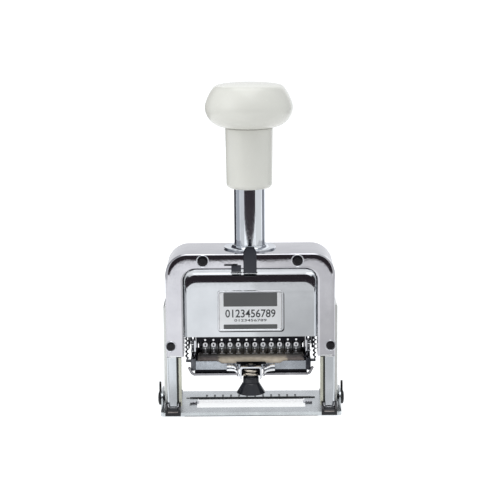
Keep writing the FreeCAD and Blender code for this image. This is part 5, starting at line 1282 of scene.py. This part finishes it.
def make_shoes():
    low, _ = mm(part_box("shoe_left"))
    opening = mm(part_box("outer_casting"))[1].x - FRAME_WIDTH
    inner, outer, foot = opening + 1.7, -low.x, low.z
    wall, tip, drop = 1.05, 21.25, foot + 0.02
    flank = [(tip, 0.25), (tip, foot + 1.2), (tip - 0.8, foot + 2.2), (tip - 3.0, foot + 3.7),
             (16.0, foot + 3.9), (16.0, drop), (tip - 0.2, drop), (tip - 0.2, 0.25)]
    ramp = [(tip, 0.25), (tip, foot + 0.7), (tip - 0.5, foot + 1.1)]
    ramp += [(tip - 0.9 - 3.3 * n / 6, foot + 0.75 + 1.1 * (n / 6) ** 2) for n in range(7)]
    ramp += [(tip - 4.2, drop), (tip - 0.2, drop), (tip - 0.2, 0.25)]
    x0, x1 = inner + wall + 0.25, outer - wall - 0.25
    bowl = [(x0, foot + 3.6), *arc_points((x0 + 1.5, foot + 2.9), 1.5, 180, 270, 6)]
    bowl += [*arc_points((x1 - 1.5, foot + 2.9), 1.5, 270, 360, 6), (x1, foot + 3.6)]
    for name, side in (("left", -1), ("right", 1)):
        shoe, tongue, rim = (bmesh.new() for _ in range(3))
        for way, inside in ((-1, inner), (1, inner + 1.0)):
            for near, far in ((inside, inside + wall), (outer - wall, outer)):
                plate_x(shoe, [(way * y, z) for y, z in flank], side * near, side * far)
            plate_x(shoe, [(way * y, z) for y, z in ramp], side * (inner + wall - 0.05),
                    side * (outer - wall + 0.05))
            add_box(tongue, (side * (x0 + 0.1), way * 21.2, foot - 0.05),
                    (side * (x1 - 0.1), way * 21.34, foot + 0.5))
        add_box(shoe, (side * (inner + 0.3), -17.2, drop), (side * outer, 17.2, foot + 1.85))
        plate_y(rim, strip_outline([(side * x, z) for x, z in bowl], 0.55), -17.5, -16.95)
        piece_from("leg_shoe_" + name, shoe, "shoe_black", "outer_frame",
                   ["shoe_" + name], 0.22)
        piece_from("leg_shoe_tongue_" + name, tongue, "tongue_steel", "outer_frame",
                   (), 0.06)
        piece_from("leg_foot_rim_" + name, rim, "chrome", "outer_frame", (), 0.12)


def make_base():
    made_edge("base_plate", 0.35, 3)
    made_edge("gauge_tabs", 0.15)
    for node in ("base_tick_marks", "window_rule"):
        NODES[node].material_slots[0].material = MATERIALS["rule_print_and_shadow"]
    made_edge("window_rule", 0.08)
    low, high = mm(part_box("window_rule"))
    tab_low, tab_high = mm(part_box("gauge_tabs"))
    end, plate, middle = high.x, low.z, (low.y + high.y) / 2
    under, over = tab_high.z - 0.1, tab_high.z + 0.08
    bm = bmesh.new()
    for x0, x1 in ((-end - 0.6, 0.2 - end), (end - 0.2, end + 1.8)):
        add_box(bm, (x0, low.y + 0.1, plate), (x1, high.y - 0.1, plate + 0.4))
    for x, y, radius in ((-end - 1.5, middle, 0.8), (end + 0.9, middle, 0.85), (0.3 - end, -6.4, 0.6)):
        add_prism(bm, [(px, py, plate) for px, py in circle(radius, 20, (x, y))], (0, 0, 0.12))
    for x, y0, y1 in ((1.6 - tab_high.x, 0.4, 0.8), (3.1 - tab_high.x, 0.4, 0.8),
                      (tab_high.x - 0.5, 0.6, 1.1), (tab_high.x - 1.7, 0.6, 1.1),
                      (tab_high.x - 2.9, 0.6, 1.1)):
        add_box(bm, (x - 0.35, tab_low.y + y0, under), (x + 0.35, tab_low.y + y1, over))
    add_box(bm, (-WINDOW_HALF - 0.5, tab_low.y + 0.1, under), (-WINDOW_HALF - 0.1, tab_high.y - 0.1, over))
    reach = mm(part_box("base_tick_marks"))[1].x - 0.45
    for n in range(len(WHEELS)):
        x = reach * (2 * n / (len(WHEELS) - 1) - 1)
        add_box(bm, (x - 0.5, 10.6, plate - 0.02), (x + 0.5, 13.4, plate + 0.05))
    add_box(bm, (-WINDOW_HALF - 1, WINDOW_BACK + 0.12, plate - 0.02),
            (WINDOW_HALF + 1, low.y + 0.1, plate + 0.04))
    add_box(bm, (-WINDOW_HALF, WINDOW_BACK - 0.05, plate - 0.45),
            (WINDOW_HALF, WINDOW_BACK + 0.2, plate + 0.04))
    edge = mm(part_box("base_plate"))[1].y
    # Painted shadow: dark strips under the plate's front and back edges.
    for way in (-1, 1):
        add_box(bm, (-33, way * (edge - 0.2), 0.02), (33, way * (edge + 0.03), 0.32))
    piece_from("gauge_marks_and_edge_shadow", bm, "rule_print_and_shadow", "outer_frame")


KNOB_STEPS = 72


def make_side_knobs():
    for name, side in (("left", -1), ("right", 1)):
        low, high = mm(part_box("side_knob_" + name))
        y, z = -5.5, low.z + 3.6
        near, far = sorted((abs(low.x), abs(high.x)))
        face = far - 1.9
        loops = []
        for radius, x in ((1.3, near), (1.3, face), (3.1, face), (3.45, face + 0.15),
                          (3.55, face + 0.4), (3.55, face + 0.85), (3.4, face + 1.25),
                          (3.0, far - 0.4), (2.2, far - 0.15), (1.0, far)):
            loop = []
            for n in range(KNOB_STEPS):
                angle = 2 * pi * n / KNOB_STEPS
                groove = 0.07 * (1 + cos(angle * 24)) if radius > 3.3 else 0.0
                loop.append((side * x, y + (radius - groove) * cos(angle),
                             z + (radius - groove) * sin(angle)))
            loops.append(loop)
        bm = bmesh.new()
        skin(bm, loops)
        tab = [(y - 1.6, z + 2.2), (y + 1.6, z + 2.2), (y + 1.35, high.z - 1.2)]
        tab += [*arc_points((y, high.z - 1.3), 1.3, 10, 170, 8), (y - 1.35, high.z - 1.2)]
        plate_x(bm, tab, side * (face + 0.1), side * (face + 1.15))
        piece_from("side_button_" + name, bm, "black_plastic", "side_knob_%s_body" % name,
                   ["side_knob_" + name])


def make_small_controls():
    for node in ("stopper_tab", "repeat_selector"):
        made_edge(node, 0.28, 3)
        NODES[node].material_slots[0].material = MATERIALS["control_black"]
    for node in ("index_bar", "swing_frame", "feed_pawls", "inner_frame", "buffer_pads"):
        made_edge(node, 0.12)


make_camera()
make_floor()
make_cards()
make_lights()
MATERIALS = make_materials()
dress_nodes(MATERIALS)
make_wheels()
make_knob()
make_barrel()
make_label()
make_felt()
make_casting()
make_screws()
make_tray()
make_bracket()
make_release_knob()
make_springs()
make_collars()
make_liners()
make_legs()
make_shoes()
make_base()
make_side_knobs()
make_small_controls()
make_panel("front_panel", -1)
make_panel("back_panel", 1)
